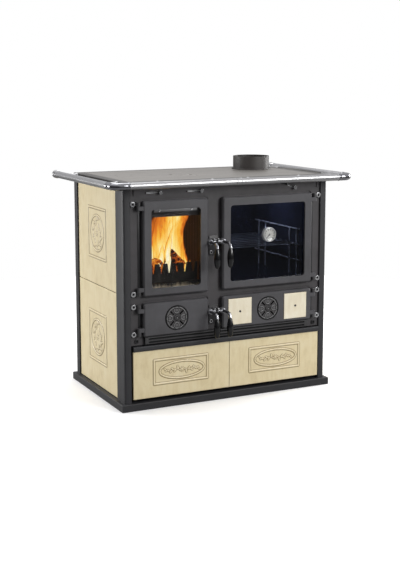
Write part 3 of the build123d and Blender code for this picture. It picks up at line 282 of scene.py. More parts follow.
def object_of(name, shells, materials, sharp):
    """One object of several shells, each with its own place in the list of materials."""
    faces, face_materials, start = [], [], 0
    for shell in shells:
        for block in shell.faces:
            faces.extend((np.asarray(block) + start).tolist())
            face_materials.append(np.full(len(block), shell.material))
        start += len(shell.points)
    mesh = bpy.data.meshes.new(name)
    mesh.from_pydata((np.concatenate([shell.points for shell in shells]) * MM).tolist(), [], faces)
    for material in materials:
        mesh.materials.append(material)
    mesh.polygons.foreach_set("material_index", np.concatenate(face_materials).astype(np.int32))
    for key in sorted({key for shell in shells for key in shell.numbers}):
        width, kind, field = (3, "FLOAT_VECTOR", "vector") if key == "lay" else (1, "FLOAT", "value")
        values = [shell.numbers.get(key, np.zeros(len(shell.points) * width)) for shell in shells]
        layer = mesh.attributes.new(key, kind, "POINT")
        layer.data.foreach_set(field, np.concatenate([np.ravel(part) for part in values]).astype(np.float32))
    set_mesh(mesh, sharp)
    return new_object(name, mesh)


def made_piece(name, shells, finishes, node=None, sharp=38.0, body="body"):
    """A piece of one or more shells, finished by the looks named. It stands for the CAD node given and rides
    on that node's body, or else on the body given."""
    shells = shells if isinstance(shells, list) else [shells]
    piece = object_of(name, shells, [looks[finish] for finish in finishes.split()], sharp)
    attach(piece, node_bodies[node] if node else body)
    if node:
        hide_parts(node)


def eased_copy(node, material, width, steps=2, sharp=32.0):
    """A copy of a CAD node with its flat faces cleaned of inner edges and its outer edges rounded by a
    Bevel."""
    source = cad[node].data
    points = np.empty(len(source.vertices) * 3)
    source.vertices.foreach_get("co", points)
    corners = np.empty(len(source.loops), int)
    source.loops.foreach_get("vertex_index", corners)
    mesh = bpy.data.meshes.new(node + "_eased")
    mesh.from_pydata(points.reshape(-1, 3).tolist(), [], corners.reshape(-1, 3).tolist())
    set_mesh(mesh, 180.0, 2 * MERGE, flatten=True)
    mesh.materials.append(material)
    piece = new_object(node + "_eased", mesh)
    bevel = piece.modifiers.new("eased edges", "BEVEL")
    bevel.limit_method = "ANGLE"
    bevel.angle_limit = math.radians(sharp)
    bevel.width = width * MM
    bevel.segments = steps
    bevel.harden_normals = True
    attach(piece, node_bodies[node])
    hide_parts(node)


def dress(node, material):
    """Gives a CAD node that stays as it is its finish."""
    for place in cad[node].material_slots:
        place.material = material


# -------------------- node wiring
def tone(colour):
    """A colour given as three screen values from 0 to 255, as linear light. Four numbers are that already."""
    if len(colour) == 4:
        return colour
    screen = np.array(colour) / 255
    linear = np.where(screen <= 0.04045, screen / 12.92, ((screen + 0.055) / 1.055) ** 2.4)
    return (*linear.tolist(), 1.0)


def is_socket(value):
    return isinstance(value, bpy.types.NodeSocket)


class Wiring:
    """Puts nodes in a tree: an input given as a socket is linked, and any other value is set."""

    def __init__(self, owner):
        self.owner = owner
        self.tree = getattr(owner, "node_tree", owner)

    def put(self, kind, inputs=None, **settings):
        node = self.tree.nodes.new("ShaderNode" + kind)
        for name, value in settings.items():
            setattr(node, name, value)
        for name, value in (inputs or {}).items():
            if is_socket(value):
                self.tree.links.new(value, node.inputs[name])
            else:
                node.inputs[name].default_value = value
        return node

    def math(self, operation, first, second=0.0):
        return self.put("Math", {0: first, 1: second}, operation=operation).outputs[0]

    def weighed(self, first, first_share, second, second_share):
        """Both values times their shares, added up."""
        parts = self.math("MULTIPLY", first, first_share), self.math("MULTIPLY", second, second_share)
        return self.math("ADD", *parts)

    def span(self, value, low, high, to_low=0.0, to_high=1.0, smooth=False):
        """The value's share of low to high, carried to to_low to to_high and held at its ends."""
        inputs = {"Value": value, 1: low, 2: high, 3: to_low, 4: to_high}
        kind = "SMOOTHSTEP" if smooth else "LINEAR"
        return self.put("MapRange", inputs, interpolation_type=kind).outputs[0]

    def noise(self, vector, scale, detail=2.0, roughness=0.5, distortion=0.0):
        values = vector, scale, detail, roughness, distortion
        names = "Vector", "Scale", "Detail", "Roughness", "Distortion"
        return self.put("TexNoise", dict(zip(names, values))).outputs[0]

    def ramp(self, value, *stops):
        """A colour ramp through (place, colour) stops."""
        node = self.put("ValToRGB", {0: value})
        elements = node.color_ramp.elements
        while len(elements) < len(stops):
            elements.new(0.5)
        for element, (place, colour) in zip(elements, stops):
            element.position = place
            element.color = tone(colour)
        return node.outputs[0]

    def mixed(self, factor, first, second):
        first, second = (colour if is_socket(colour) else tone(colour) for colour in (first, second))
        return self.put("Mix", {0: factor, 6: first, 7: second}, data_type="RGBA").outputs[2]

    def stretched(self, vector, scale):
        return self.put("VectorMath", {0: vector, 1: scale}, operation="MULTIPLY").outputs[0]

    def place(self):
        return self.put("TexCoord").outputs["Object"]

    def part(self, vector, axis):
        return self.put("SeparateXYZ", {0: vector}).outputs[axis]

    def carried(self, name, output="Fac"):
        return self.put("Attribute", attribute_name=name).outputs[output]

    def group(self, tree, **inputs):
        return self.put("Group", inputs, node_tree=tree).outputs

    def close(self, colour, roughness, height=None, depth=0.0, **others):
        """Ends a material's tree in its own Principled BSDF. A height bumps it, its full swing depth
        millimetres deep."""
        inputs = {"Base Color": colour, "Roughness": roughness}
        inputs.update({name.replace("_", " "): value for name, value in others.items()})
        if height is not None:
            bump = {"Height": height, "Strength": 1.0, "Distance": depth * MM}
            inputs["Normal"] = self.put("Bump", bump).outputs[0]
        shader = self.put("BsdfPrincipled", inputs)
        self.put("OutputMaterial", {"Surface": shader.outputs[0]})
        return self.owner


def blank(kind, name):
    """The Wiring of a new material's or world's empty tree."""
    owner = kind.new(name)
    owner.use_nodes = True
    owner.node_tree.nodes.clear()
    return Wiring(owner)


SOCKETS = {"Colour": "NodeSocketColor", "Place": "NodeSocketVector", "Stretch": "NodeSocketVector"}


def node_group(name, outputs, **inputs):
    """Makes a shader node group with named sockets of a function: it gets the group's Wiring and input
    sockets and returns the outputs."""

    def build(wire):
        tree = bpy.data.node_groups.new(name, "ShaderNodeTree")

        def add_socket(title, direction):
            kind = SOCKETS.get(title, "NodeSocketFloat")
            return tree.interface.new_socket(title, in_out=direction, socket_type=kind)

        for title, value in inputs.items():
            add_socket(title, "INPUT").default_value = value
        for title in outputs:
            add_socket(title, "OUTPUT")
        entry, leave = tree.nodes.new("NodeGroupInput"), tree.nodes.new("NodeGroupOutput")
        for title, socket in zip(outputs, wire(Wiring(tree), entry.outputs)):
            tree.links.new(socket, leave.inputs[title])
        return tree

    return build


# -------------------- effects that several finishes share
@node_group("cast grain", ["Tone", "Height"], Grains=900.0, Waves=1.0)
def cast_grain(w, given):
    """Sand-cast skin: fine grains over shallow waves, and large soft cloudiness for the tone."""
    place = w.place()
    grain = w.noise(place, given["Grains"], 3.0, 0.6)
    waves = w.noise(place, w.math("MULTIPLY", given["Grains"], 0.06), 2.0)
    clouds = w.noise(place, 9.0, 4.0, 0.6)
    return w.weighed(clouds, 0.7, grain, 0.3), w.weighed(grain, 0.6, waves, given["Waves"])


@node_group("brushing", ["Tone", "Height"], Place=(0, 0, 0), Stretch=(1, 1, 1), Scratches=1.0)
def brushing(w, given):
    """Brushed metal: noise pulled out long in one direction, fine for the scratches and coarse for the
    tone."""
    place = w.stretched(given["Place"], given["Stretch"])
    fine = w.noise(place, given["Scratches"], 2.0, 0.7)
    coarse = w.noise(place, w.math("MULTIPLY", given["Scratches"], 0.12), 3.0)
    return w.weighed(fine, 0.45, coarse, 0.55), fine


@node_group("glaze mottle", ["Tone", "Specks", "Height"])
def glaze_mottle(w, given):
    """Hand-laid glaze: soft clouds and long runs for the tone, small ripples for the height."""
    place = w.place()
    clouds = w.noise(place, 14.0, 5.0, 0.62, 0.6)
    runs = w.noise(w.stretched(place, (3.0, 3.0, 0.7)), 22.0, 4.0, 0.6, 0.4)
    specks = w.noise(place, 420.0, 2.0, 0.6)
    ripple = w.weighed(w.noise(place, 60.0, 2.0), 1.0, specks, 0.15)
    return w.weighed(clouds, 0.55, runs, 0.45), specks, ripple


@node_group("fire colour", ["Colour"], Heat=0.5)
def fire_colour(w, given):
    """The colour of fire by heat: dark red, orange, amber, yellow, pale yellow."""
    stops = (
        (0.0, (48, 14, 4)),
        (0.22, (160, 66, 18)),
        (0.42, (226, 122, 34)),
        (0.64, (250, 184, 62)),
        (0.84, (255, 226, 130)),
        (1.0, (255, 246, 212)),
    )
    return [w.ramp(given["Heat"], *stops)]


@node_group("soot", ["Mask"], Amount=0.5)
def soot(w, given):
    """Soot: a mask that thickens with noise from nothing to everything by the amount given."""
    patches = w.noise(w.place(), 16.0, 5.0, 0.65)
    streaks = w.noise(w.stretched(w.place(), (1.0, 1.0, 0.12)), 90.0, 3.0, 0.6)
    edge = w.math("SUBTRACT", 1.0, given["Amount"])
    mask = w.math("SUBTRACT", w.weighed(patches, 0.6, streaks, 0.4), w.math("MULTIPLY", edge, 0.62))
    return [w.span(mask, -0.04, 0.22, smooth=True)]


# -------------------- finishes
def cast_finish(w, dark, light, roughness, grains=900.0, waves=1.0, depth=0.12, metallic=0.0):
    """Satin cast iron or paint: the cast grain for tone, roughness and bump."""
    skin = w.group(cast_grain, Grains=grains, Waves=waves)
    return w.close(
        w.ramp(skin["Tone"], (0.34, dark), (0.66, light)),
        w.span(skin["Tone"], 0.3, 0.7, roughness + 0.06, roughness - 0.06),
        skin["Height"],
        depth,
        Metallic=metallic,
    )


def sunk_finish(w, dark, light, sunk, roughness, metallic=0.0):
    """Iron with painted shade in its recesses and a painted highlight on its raised tops: the cast grain, a
    dark tone of painted shade where the point's deep number is high, and a paler painted highlight where its
    highlight number is."""
    skin = w.group(cast_grain, Grains=900.0, Waves=0.6)
    deep = w.span(w.carried("deep"), 0.15, 0.85, smooth=True)
    colour = w.ramp(skin["Tone"], (0.34, dark), (0.66, light))
    # painted highlight: raised tops mixed towards a paler grey
    colour = w.mixed(w.math("MULTIPLY", w.carried("worn"), 0.55), colour, (0.25, 0.25, 0.25, 1.0))
    return w.close(
        # painted shade: recesses mixed towards the near-black sunk tone
        w.mixed(deep, colour, sunk),
        w.span(deep, 0.0, 1.0, roughness, 0.8),
        skin["Height"],
        0.05,
        Metallic=w.span(deep, 0.0, 1.0, metallic, 0.0) if metallic else 0.0,
    )


def grooved_finish(w, dark, light, sunk, face_y):
    """Cast iron with painted shade in its long grooves: dark where the surface lies behind the face's own
    depth.
    """
    skin = w.group(cast_grain, Grains=900.0, Waves=1.0)
    # painted shade: the grooves behind the face mixed towards the near-black sunk tone
    deep = w.span(w.part(w.place(), "Y"), (face_y + 1.0) * MM, (face_y + 3.5) * MM, smooth=True)
    return w.close(
        w.mixed(deep, w.ramp(skin["Tone"], (0.34, dark), (0.66, light)), sunk),
        w.span(deep, 0.0, 1.0, 0.48, 0.85),
        skin["Height"],
        0.12,
    )


def slide_finish(w):
    """An air slide: the bar behind the front plate's face painted near-white, a painted light that keeps it
    bright in its shaded slot, and dark polish on the knob before it."""
    skin = w.group(cast_grain, Grains=900.0, Waves=0.5)
    behind = w.span(w.part(w.place(), "Y"), (frame_front - 0.8) * MM, (frame_front - 0.2) * MM)
    knob = w.ramp(skin["Tone"], (0.3, (150, 150, 152)), (0.7, (182, 182, 184)))
    # painted light: the bar's near-white stands in for light in the shaded slot
    bar = w.ramp(skin["Tone"], (0.3, (232, 232, 232)), (0.7, (250, 250, 250)))
    return w.close(
        w.mixed(behind, knob, bar),
        w.span(behind, 0.0, 1.0, 0.2, 0.5),
        skin["Height"],
        0.02,
        Metallic=w.span(behind, 0.0, 1.0, 0.9, 0.0),
    )


def brushed_finish(w, dark, light, roughness, stretch, scratches, depth=0.02, lay=False, metallic=1.0):
    """Brushed metal: streaks along the stretch's short axis, on the piece's own lay or on its place."""
    place = w.carried("lay", "Vector") if lay else w.place()
    streaks = w.group(brushing, Place=place, Stretch=stretch, Scratches=scratches)
    return w.close(
        w.ramp(streaks["Tone"], (0.3, dark), (0.7, light)),
        w.span(streaks["Tone"], 0.3, 0.7, roughness + 0.07, roughness - 0.07),
        streaks["Height"],
        depth,
        Metallic=metallic,
    )


def glaze_finish(w, shadow, body, light, pool):
    """Glazed tile: mottled body colour, darker where the glaze pools beside the relief and paler on its
    tops."""
    mottle = w.group(glaze_mottle)
    colour = w.ramp(mottle["Tone"], (0.3, shadow), (0.5, body), (0.72, light))
    pooled = w.span(w.carried("pool"), 0.05, 0.75, smooth=True)
    colour = w.mixed(w.math("MULTIPLY", pooled, 0.95), colour, pool)
    colour = w.mixed(w.span(w.carried("relief"), 0.4, 1.6, 0.0, 0.45), colour, light)
    specks = w.span(mottle["Specks"], 0.64, 0.76)
    return w.close(
        w.mixed(w.math("MULTIPLY", specks, 0.25), colour, pool),
        w.span(mottle["Tone"], 0.3, 0.7, 0.52, 0.42),
        mottle["Height"],
        0.25,
        Coat_Weight=0.12,
        Coat_Roughness=0.25,
    )


def glass_finish(w, colour, smear):
    """Clear door glass with faint wiping marks in its gloss."""
    marks = w.noise(w.stretched(w.place(), (1.0, 1.0, 0.35)), 18.0, 4.0, 0.6, 0.8)
    return w.close(colour, w.span(marks, 0.45, 0.8, 0.0, smear), IOR=1.45, Transmission_Weight=1.0)


rib_pitch = 14.0
rib_middle_y = frame_front + 198.85
soot_levels = (0.452, 0.49)


def lining_finish(w):
    """Firebrick with soot towards the fire; within the soot, painted shade darkens the grooves between its
    ribs, which stay paler.
    """
    place = w.place()
    crumbs = w.noise(place, 260.0, 3.0, 0.65)
    clouds = w.noise(place, 22.0, 4.0, 0.6)
    brick = w.ramp(clouds, (0.3, (150, 132, 104)), (0.7, (196, 178, 148)))
    mask = w.group(soot, Amount=w.span(w.part(place, "Z"), *soot_levels, 0.2, 0.97))["Mask"]
    turn = w.math("MULTIPLY", w.part(place, "Y"), 2 * math.pi / (rib_pitch * MM))
    start = math.pi / 2 - 2 * math.pi * rib_middle_y / rib_pitch
    # painted shade: near black in the grooves between the ribs, paler on the ribs
    rib = w.span(w.math("SINE", w.math("ADD", turn, start)), -0.2, 0.5, smooth=True)
    soot_with_groove_shade = w.mixed(rib, (8, 6, 5), (62, 55, 49))
    return w.close(w.mixed(mask, brick, soot_with_groove_shade), w.span(mask, 0, 1, 0.85, 0.7), crumbs, 0.5)


def log_finish(w):
    """Burning split wood: charred blocks with glowing cracks where the point's ember number is high."""
    place = w.place()
    cracks = w.put(
        "TexVoronoi",
        {"Vector": w.stretched(place, (1.0, 0.55, 1.0)), "Scale": 62.0, "Randomness": 0.9},
        feature="DISTANCE_TO_EDGE",
    ).outputs["Distance"]
    crack = w.span(cracks, 0.0, 0.16, 1.0, 0.0, smooth=True)
    patches = w.noise(place, 34.0, 4.0, 0.6, 0.6)
    grain = w.noise(w.stretched(place, (1.0, 0.08, 1.0)), 240.0, 3.0, 0.6)
    ember = w.carried("ember")
    glow = w.math("MULTIPLY", ember, w.span(patches, 0.38, 0.6, smooth=True))
    heat = w.weighed(glow, 0.62, w.math("MULTIPLY", crack, ember), 0.3)
    coal = w.ramp(grain, (0.3, (14, 11, 9)), (0.7, (48, 38, 30)))
    ash = w.math("MULTIPLY", w.span(patches, 0.56, 0.7, smooth=True), 0.35)
    fire = w.group(fire_colour, Heat=w.span(heat, 0.0, 0.9, 0.05, 0.58))["Colour"]
    return w.close(
        w.mixed(ash, coal, (120, 110, 100)),
        w.span(grain, 0.3, 0.7, 0.9, 0.7),
        w.math("SUBTRACT", grain, crack),
        2.0,
        Emission_Color=w.mixed(w.span(heat, 0.1, 0.35, smooth=True), (0, 0, 0, 1), fire),
        Emission_Strength=0.85,
    )


def flame_finish(w):
    """Flame: light by the point's warmth, broken into upright streaks, and clear where it is coolest."""
    place = w.place()
    streaks = w.noise(w.stretched(place, (1.0, 1.0, 0.16)), 34.0, 3.0, 0.55, 0.7)
    fine = w.noise(w.stretched(place, (1.0, 1.0, 0.1)), 130.0, 2.0, 0.5)
    wander = w.weighed(streaks, 0.75, fine, 0.25)
    heat = w.weighed(w.carried("warmth"), 1.0, w.math("SUBTRACT", wander, 0.5), 1.3)
    return w.close(
        (0.0, 0.0, 0.0, 1.0),
        w.span(wander, 0.0, 1.0, 0.9, 1.0),
        Specular_IOR_Level=0.0,
        Emission_Color=w.group(fire_colour, Heat=w.span(heat, 0.0, 1.0))["Colour"],
        Emission_Strength=1.12,
        Alpha=w.span(heat, 0.08, 0.5, 0.0, 0.92, smooth=True),
    )


def dial_finish(w):
    """Printed dial: off-white card with a faint paper tone."""
    tint = w.noise(w.place(), 180.0, 3.0)
    colour = w.ramp(tint, (0.3, (238, 238, 235)), (0.7, (252, 252, 250)))
    return w.close(colour, w.span(tint, 0.3, 0.7, 0.5, 0.4))


even, along_turn = (1.0, 1.0, 1.0), (1.0, 1.0, 0.1)
finish_table = {
    cast_finish: {
        # name: dark and light tone, roughness, grains, waves, depth, metallic
        "cast_black": ((61, 60, 62), (78, 77, 80), 0.48),
        "frame_black": ((52, 50, 51), (69, 66, 68), 0.5),
        "sheet_black": ((34, 34, 36), (43, 43, 46), 0.54, 1600.0, 0.3, 0.03),
        # rear posts: the posts' black paint darkened, a painted shade
        "sheet_black_shaded": ((22, 21, 24), (28, 27, 31), 0.62, 1600.0, 0.3, 0.03),
        "hob_border": ((72, 70, 68), (96, 93, 90), 0.42, 700.0, 0.8, 0.06, 0.4),
        "collar_black": ((44, 41, 39), (57, 53, 51), 0.56, 1200.0, 0.5, 0.04),
        "grip_black": ((14, 14, 15), (24, 24, 26), 0.14, 300.0, 0.6, 0.01),
        "oven_enamel": ((16, 18, 28), (28, 31, 44), 0.2, 500.0, 1.0, 0.02),
        "shell_steel": ((60, 56, 52), (92, 84, 76), 0.55, 400.0, 1.0, 0.1, 0.7),
        "sooty_iron": ((20, 18, 16), (40, 36, 32), 0.7, 500.0, 1.0, 0.2),
        "needle_dark": ((18, 18, 20), (30, 30, 34), 0.3, 900.0, 0.5, 0.01),
        "hinge_steel": ((70, 69, 70), (98, 97, 98), 0.36, 800.0, 0.6, 0.03, 0.6),
        "keeper_black": ((44, 43, 44), (62, 60, 61), 0.34, 900.0, 0.6, 0.03, 0.3),
        "clip_grey": ((78, 78, 79), (98, 98, 99), 0.34, 900.0, 0.5, 0.02, 0.4),
    },
    sunk_finish: {
        # name: dark, light and sunk tone (the sunk tone is painted shade), roughness, metallic
        "register_black": ((54, 52, 53), (72, 69, 70), (4, 4, 4), 0.42),
        "screw_steel": ((176, 176, 178), (216, 216, 218), (10, 10, 10), 0.24, 0.9),
        "black_screw": ((22, 22, 23), (38, 38, 40), (3, 3, 3), 0.34),
        "bezel_bright": ((214, 214, 214), (244, 244, 244), (10, 10, 10), 0.22, 0.35),
    },
    brushed_finish: {
        # name: dark and light tone, roughness, stretch, scratches, depth, on its own lay, metallic
        "hob_grey": ((132, 128, 124), (168, 164, 158), 0.42, (0.05, 1.0, 1.0), 900.0, 0.02),
        "rail_steel": ((150, 150, 151), (190, 190, 191), 0.36, (1.0, 1.0, 0.02), 1.6, 0.015, True),
        "elbow_polish": ((118, 118, 121), (156, 156, 160), 0.1, along_turn, 0.6, 0.002, True),
        "lever_chrome": ((128, 128, 132), (172, 172, 176), 0.1, along_turn, 0.8, 0.002, True),
        "inner_steel": ((120, 120, 122), (168, 168, 170), 0.42, (1.0, 1.0, 0.04), 500.0),
        "wire_steel": ((132, 134, 142), (164, 166, 174), 0.4, even, 300.0, 0.02, False, 0.3),
        # the oven shelf: the ladders' wire steel darkened, a painted shade
        "wire_steel_shaded": ((56, 58, 64), (80, 82, 88), 0.4, even, 300.0, 0.02, False, 0.3),
    },
    glaze_finish: {
        # name: shadow, body, light and pooled tone
        "tile_cream": ((214, 196, 153), (228, 212, 171), (234, 221, 186), (136, 110, 68)),
        "tile_small": ((226, 214, 186), (236, 226, 200), (246, 239, 220), (170, 146, 104)),
    },
    glass_finish: {
        # name: colour, smear
        "glass_clear": ((0.93, 0.93, 0.92, 1.0), 0.05),
        "glass_dark": ((0.62, 0.65, 0.74, 1.0), 0.02),
    },
    # name: dark, light and sunk tone (the sunk tone is painted shade), face's depth
    grooved_finish: {"ledge_black": ((44, 43, 44), (58, 57, 58), (6, 6, 6), -239.4)},
    slide_finish: {"slide_painted_light": ()},
    lining_finish: {"firebrick": ()},
    log_finish: {"charred_wood": ()},
    flame_finish: {"flame": ()},
    dial_finish: {"dial_card": ()},
}
looks = {
    name: finish(blank(bpy.data.materials, name), *row)
    for finish, rows in finish_table.items()
    for name, row in rows.items()
}


# -------------------- relief tiles
def along_edge(half, fine_low, fine_high, fine, coarse):
    """Places along one side of a tile: close at the rounded edges and in the relief, far apart between
    them."""
    rim = np.array([0.0, 0.25, 0.7, 1.3, 2.2])
    left = np.arange(-half + rim[-1] + coarse, fine_low - coarse * 0.4, coarse)
    right = np.arange(fine_high + coarse, half - rim[-1] - coarse * 0.4, coarse)
    middle = np.linspace(fine_low, fine_high, int(round((fine_high - fine_low) / fine)) + 1)
    return np.concatenate([rim - half, left, middle, right, half - rim[::-1]])


def domed(share):
    """A half circle's height over the share of its radius, and nothing outside it."""
    return np.sqrt(np.clip(1 - share**2, 0, None))


def risen(past, width):
    """How far a number has got from 0 to the width, as a share held at 0 and 1."""
    return np.clip(past / width, 0, 1)


def ridge(distance, width, height):
    """A half-round ridge: the height times the half circle of the distance over half the width."""
    return height * domed(2 * distance / width)


def framed(u, v, half_u, half_v):
    """A half-round moulding round a rectangle: a point's distance from its line is the greater of its
    distances past the two pairs of sides."""
    return ridge(np.maximum(np.abs(u) - half_u, np.abs(v) - half_v), border_width, relief_height)


def ringed(u, v, half_u, half_v):
    """A half-round moulding round an ellipse: the distance is the ellipse's own measure divided by its
    slope."""
    measure = np.hypot(u / half_u, v / half_v) + 1e-9
    slope = np.hypot(u / half_u**2, v / half_v**2) / measure + 1e-9
    return ridge((measure - 1) / slope, ring_width, relief_height)


def leafed(u, v, at, angle, length, width, bend, height):
    """A pointed leaf: with s from its foot to its tip, half as wide as width * sin(pi s^0.8), crowned across
    its width, with a groove along the middle and shallow side veins."""
    du, dv = u - at[0], v - at[1]
    s = (du * math.cos(angle) + dv * math.sin(angle)) / length
    t = -du * math.sin(angle) + dv * math.cos(angle) - bend * length * s * (1 - s)
    half = 0.5 * width * np.sin(np.pi * np.clip(s, 0, 1) ** 0.8) + 1e-6
    veins = 0.1 * np.cos(2 * np.pi * (s * 6 - np.abs(t) / width * 2.2))
    groove = 0.42 * np.exp(-((t / 0.9) ** 2))
    inside = (s > 0) & (s < 1) & (np.abs(t) < half)
    return np.where(inside, height * domed(t / half) * (0.86 + veins - groove), 0)


def blossomed(u, v, at, radius, petals, height):
    """A blossom: its radius swells and shrinks round it once for each petal, with a domed middle."""
    du, dv = u - at[0], v - at[1]
    away, swell = np.hypot(du, dv), np.cos(petals * np.arctan2(dv, du))
    petal = domed(away / (radius * (0.78 + 0.22 * swell))) * (0.72 + 0.28 * swell)
    return height * np.maximum(petal * 0.85, domed(away / (radius * 0.3)))


def sprig(u, v, curve, leaves, length, width, height=1.9):
    """A leafy sprig: a stem along a cubic Bezier curve, as the ridge of the distance to the nearest of many
    places on it, with leaves standing off it to the left and right in turn, smaller to the tip."""
    a, b, c, d = np.array(curve, float)
    last = 89
    t = np.linspace(0, 1, last + 1)[:, None]
    line = (1 - t) ** 3 * a + 3 * t * (1 - t) ** 2 * b + 3 * t**2 * (1 - t) * c + t**3 * d
    nearest = np.full(u.shape, 1e9)
    for place in line:
        nearest = np.minimum(nearest, np.hypot(u - place[0], v - place[1]))
    made = ridge(nearest, 2.6, height * 0.8)
    for k in range(leaves):
        share = 0.12 + 0.8 * k / (leaves - 1)
        here = int(share * last)
        ahead = line[min(here + 3, last)] - line[max(here - 3, 0)]
        side = 1 if k % 2 else -1
        angle = math.atan2(ahead[1], ahead[0]) + side * (0.95 - 0.35 * share)
        size = 1.0 - 0.4 * share
        leaf = leafed(u, v, line[here], angle, length * size, width * size, -0.16 * side, height)
        made = np.maximum(made, leaf)
    ahead = line[-1] - line[-4]
    tip = leafed(u, v, d, math.atan2(ahead[1], ahead[0]), length * 0.7, width * 0.62, 0.0, height)
    return np.maximum(made, tip)


def side_motif(u, v):
    """The side tiles' own ornament: two sprigs that curl towards each other round a blossom."""
    low = sprig(u, v, [(-30, -52), (34, -56), (58, -8), (22, 26)], 8, 27, 13)
    high = sprig(u, v, [(26, 56), (-34, 52), (-56, 4), (-26, -26)], 8, 25, 12)
    return np.maximum(np.maximum(low, high), blossomed(u, v, (-1, 1), 15, 6, 1.9))


def drawer_motif(u, v):
    """The drawer tiles' own ornament: two low sprigs that lean away from a blossom in the middle."""
    left = sprig(u, v, [(-8, -3), (-28, 13), (-48, -11), (-66, 3)], 6, 19, 8)
    right = sprig(u, v, [(8, 3), (28, -13), (48, 11), (66, -3)], 6, 19, 8)
    return np.maximum(np.maximum(left, right), blossomed(u, v, (0, 0), 12, 8, 1.9))


def panel(u, v, rectangle, ellipse, motif, shift=0.0, hand=1):
    """A panel's relief: a moulding round a rectangle, and, shifted along u, one round an ellipse with a motif
    in it, which is turned half round where hand is -1."""
    relief = np.maximum(framed(u, v, *rectangle), ringed(u - shift, v, *ellipse))
    return np.maximum(relief, motif((u - shift) * hand, v * hand))


def face_of_tile(u, v, half_u, half_v, seed):
    """A tile's own face: its edge falls away along a quarter circle, and it is a little wavy, as laid by
    hand."""
    from_edge = np.minimum(half_u - np.abs(u), half_v - np.abs(v))
    edge = 1.8
    fall = edge - np.sqrt(np.clip(edge**2 - np.clip(edge - from_edge, 0, edge) ** 2, 0, None))
    return 0.07 * (np.sin(u / 31 + seed) * np.cos(v / 27 - 2 * seed) - 1) - fall


def relief_tile(halves, u_grid, v_grid, seed, thickness, place, relief=None):
    """A tile as a grid of points: place turns (u, v, height) into a point, the rim of the grid is carried
    back to the tile's back, and the back is one face. The points carry their relief and how deep they lie
    beside it, which is the average height round them less their own."""
    u, v = np.meshgrid(along_edge(halves[0], *u_grid), along_edge(halves[1], *v_grid))
    heights = face_of_tile(u, v, *halves, seed) + (relief(u, v) if relief else 0)
    rows, columns = heights.shape
    blurred = heights
    for _ in range(7):
        wide = np.pad(blurred, 1, mode="edge")
        blurred = (wide[:-2, 1:-1] + wide[2:, 1:-1] + wide[1:-1, :-2] + wide[1:-1, 2:] + 2 * blurred) / 6
    ring = np.concatenate(
        [
            np.arange(columns),
            np.arange(2, rows) * columns - 1,
            np.arange(rows * columns - 1, (rows - 1) * columns - 1, -1),
            np.arange(rows - 2, 0, -1) * columns,
        ]
    )
    back = rows * columns + np.arange(len(ring))
    sides = np.stack([ring, np.roll(ring, -1), np.roll(back, -1), back], 1)
    points = [
        place(u.ravel(), v.ravel(), heights.ravel()),
        place(u.ravel()[ring], v.ravel()[ring], np.full(len(ring), -thickness)),
    ]
    return Shell(
        np.concatenate(points),
        [grid_quads(rows, columns), sides, back[None, :]],
        pool=np.append(risen(blurred - heights, 0.42), 0 * ring),
        relief=np.append(np.clip(heights, 0, None), 0 * ring),
    )


def side_tile(side, k):
    """The lower or the upper tile of one side."""
    middle_y = sum(tile_span_y) / 2
    halves = (tile_span_y[1] - tile_span_y[0]) / 2, tile_height / 2
    aside, down = side * (6.0, 0.0)[k], (7.0, 0.0)[k]
    return relief_tile(
        halves,
        (-111.8, 111.8, 1.3, 11.0),
        (-118.3, 110.5, 1.3, 11.0),
        1.3 * k + side,
        tile_face_x - relief_height - tile_back_x,
        lambda a, b, h: points_of(
            side * (tile_face_x - relief_height + h), middle_y + side * a, tile_levels[k] + halves[1] + b
        ),
        lambda u, v: panel(u - aside, v + down, (91.0, 96.0), (70.0, 69.0), side_motif),
    )


def drawer_tile(side):
    """The left or the right tile on the drawer's front."""
    low, high = sorted(side * x for x in drawer_tile_x)
    aside = -5.0 if side < 0 else 0.0
    return relief_tile(
        ((high - low) / 2, (drawer_tile_z[1] - drawer_tile_z[0]) / 2),
        (-126.25, 126.25, 1.25, 11.0),
        (-55.0, 65.0, 1.25, 8.0),
        2.1 + side,
        drawer_tile_back - drawer_front_y - relief_height,
        lambda a, b, h: points_of(
            (low + high) / 2 + a, drawer_front_y + relief_height - h, sum(drawer_tile_z) / 2 + b
        ),
        lambda u, v: panel(u - aside, v - 5.0, (111.0, 46.0), (92.0, 32.0), drawer_motif, 4.0, side),
    )


def small_tile(x, seed):
    """A plain tile of the lower right door."""
    grid = (-6.0, 6.0, 3.0, 7.0)
    return relief_tile(
        (small_tile_half, small_tile_half),
        grid,
        grid,
        seed,
        small_tile_thickness,
        lambda a, b, h: points_of(x + a, small_tile_back - h, lower_middle + b),
    )


for word, side in SIDES.items():
    tiles = [side_tile(side, k) for k in (0, 1)]
    made_piece(f"side_tiles_{word}_relief", tiles, "tile_cream", "side_tiles_" + word, 60.0)
tiles = [drawer_tile(side) for side in (-1, 1)]
made_piece("drawer_tiles_relief", tiles, "tile_cream", "drawer_tiles", 60.0)
tiles = [small_tile(x, 0.7 + k) for k, x in enumerate(small_tile_x)]
made_piece("lower_door_tiles_glazed", tiles, "tile_small", "lower_door_tiles", 60.0)


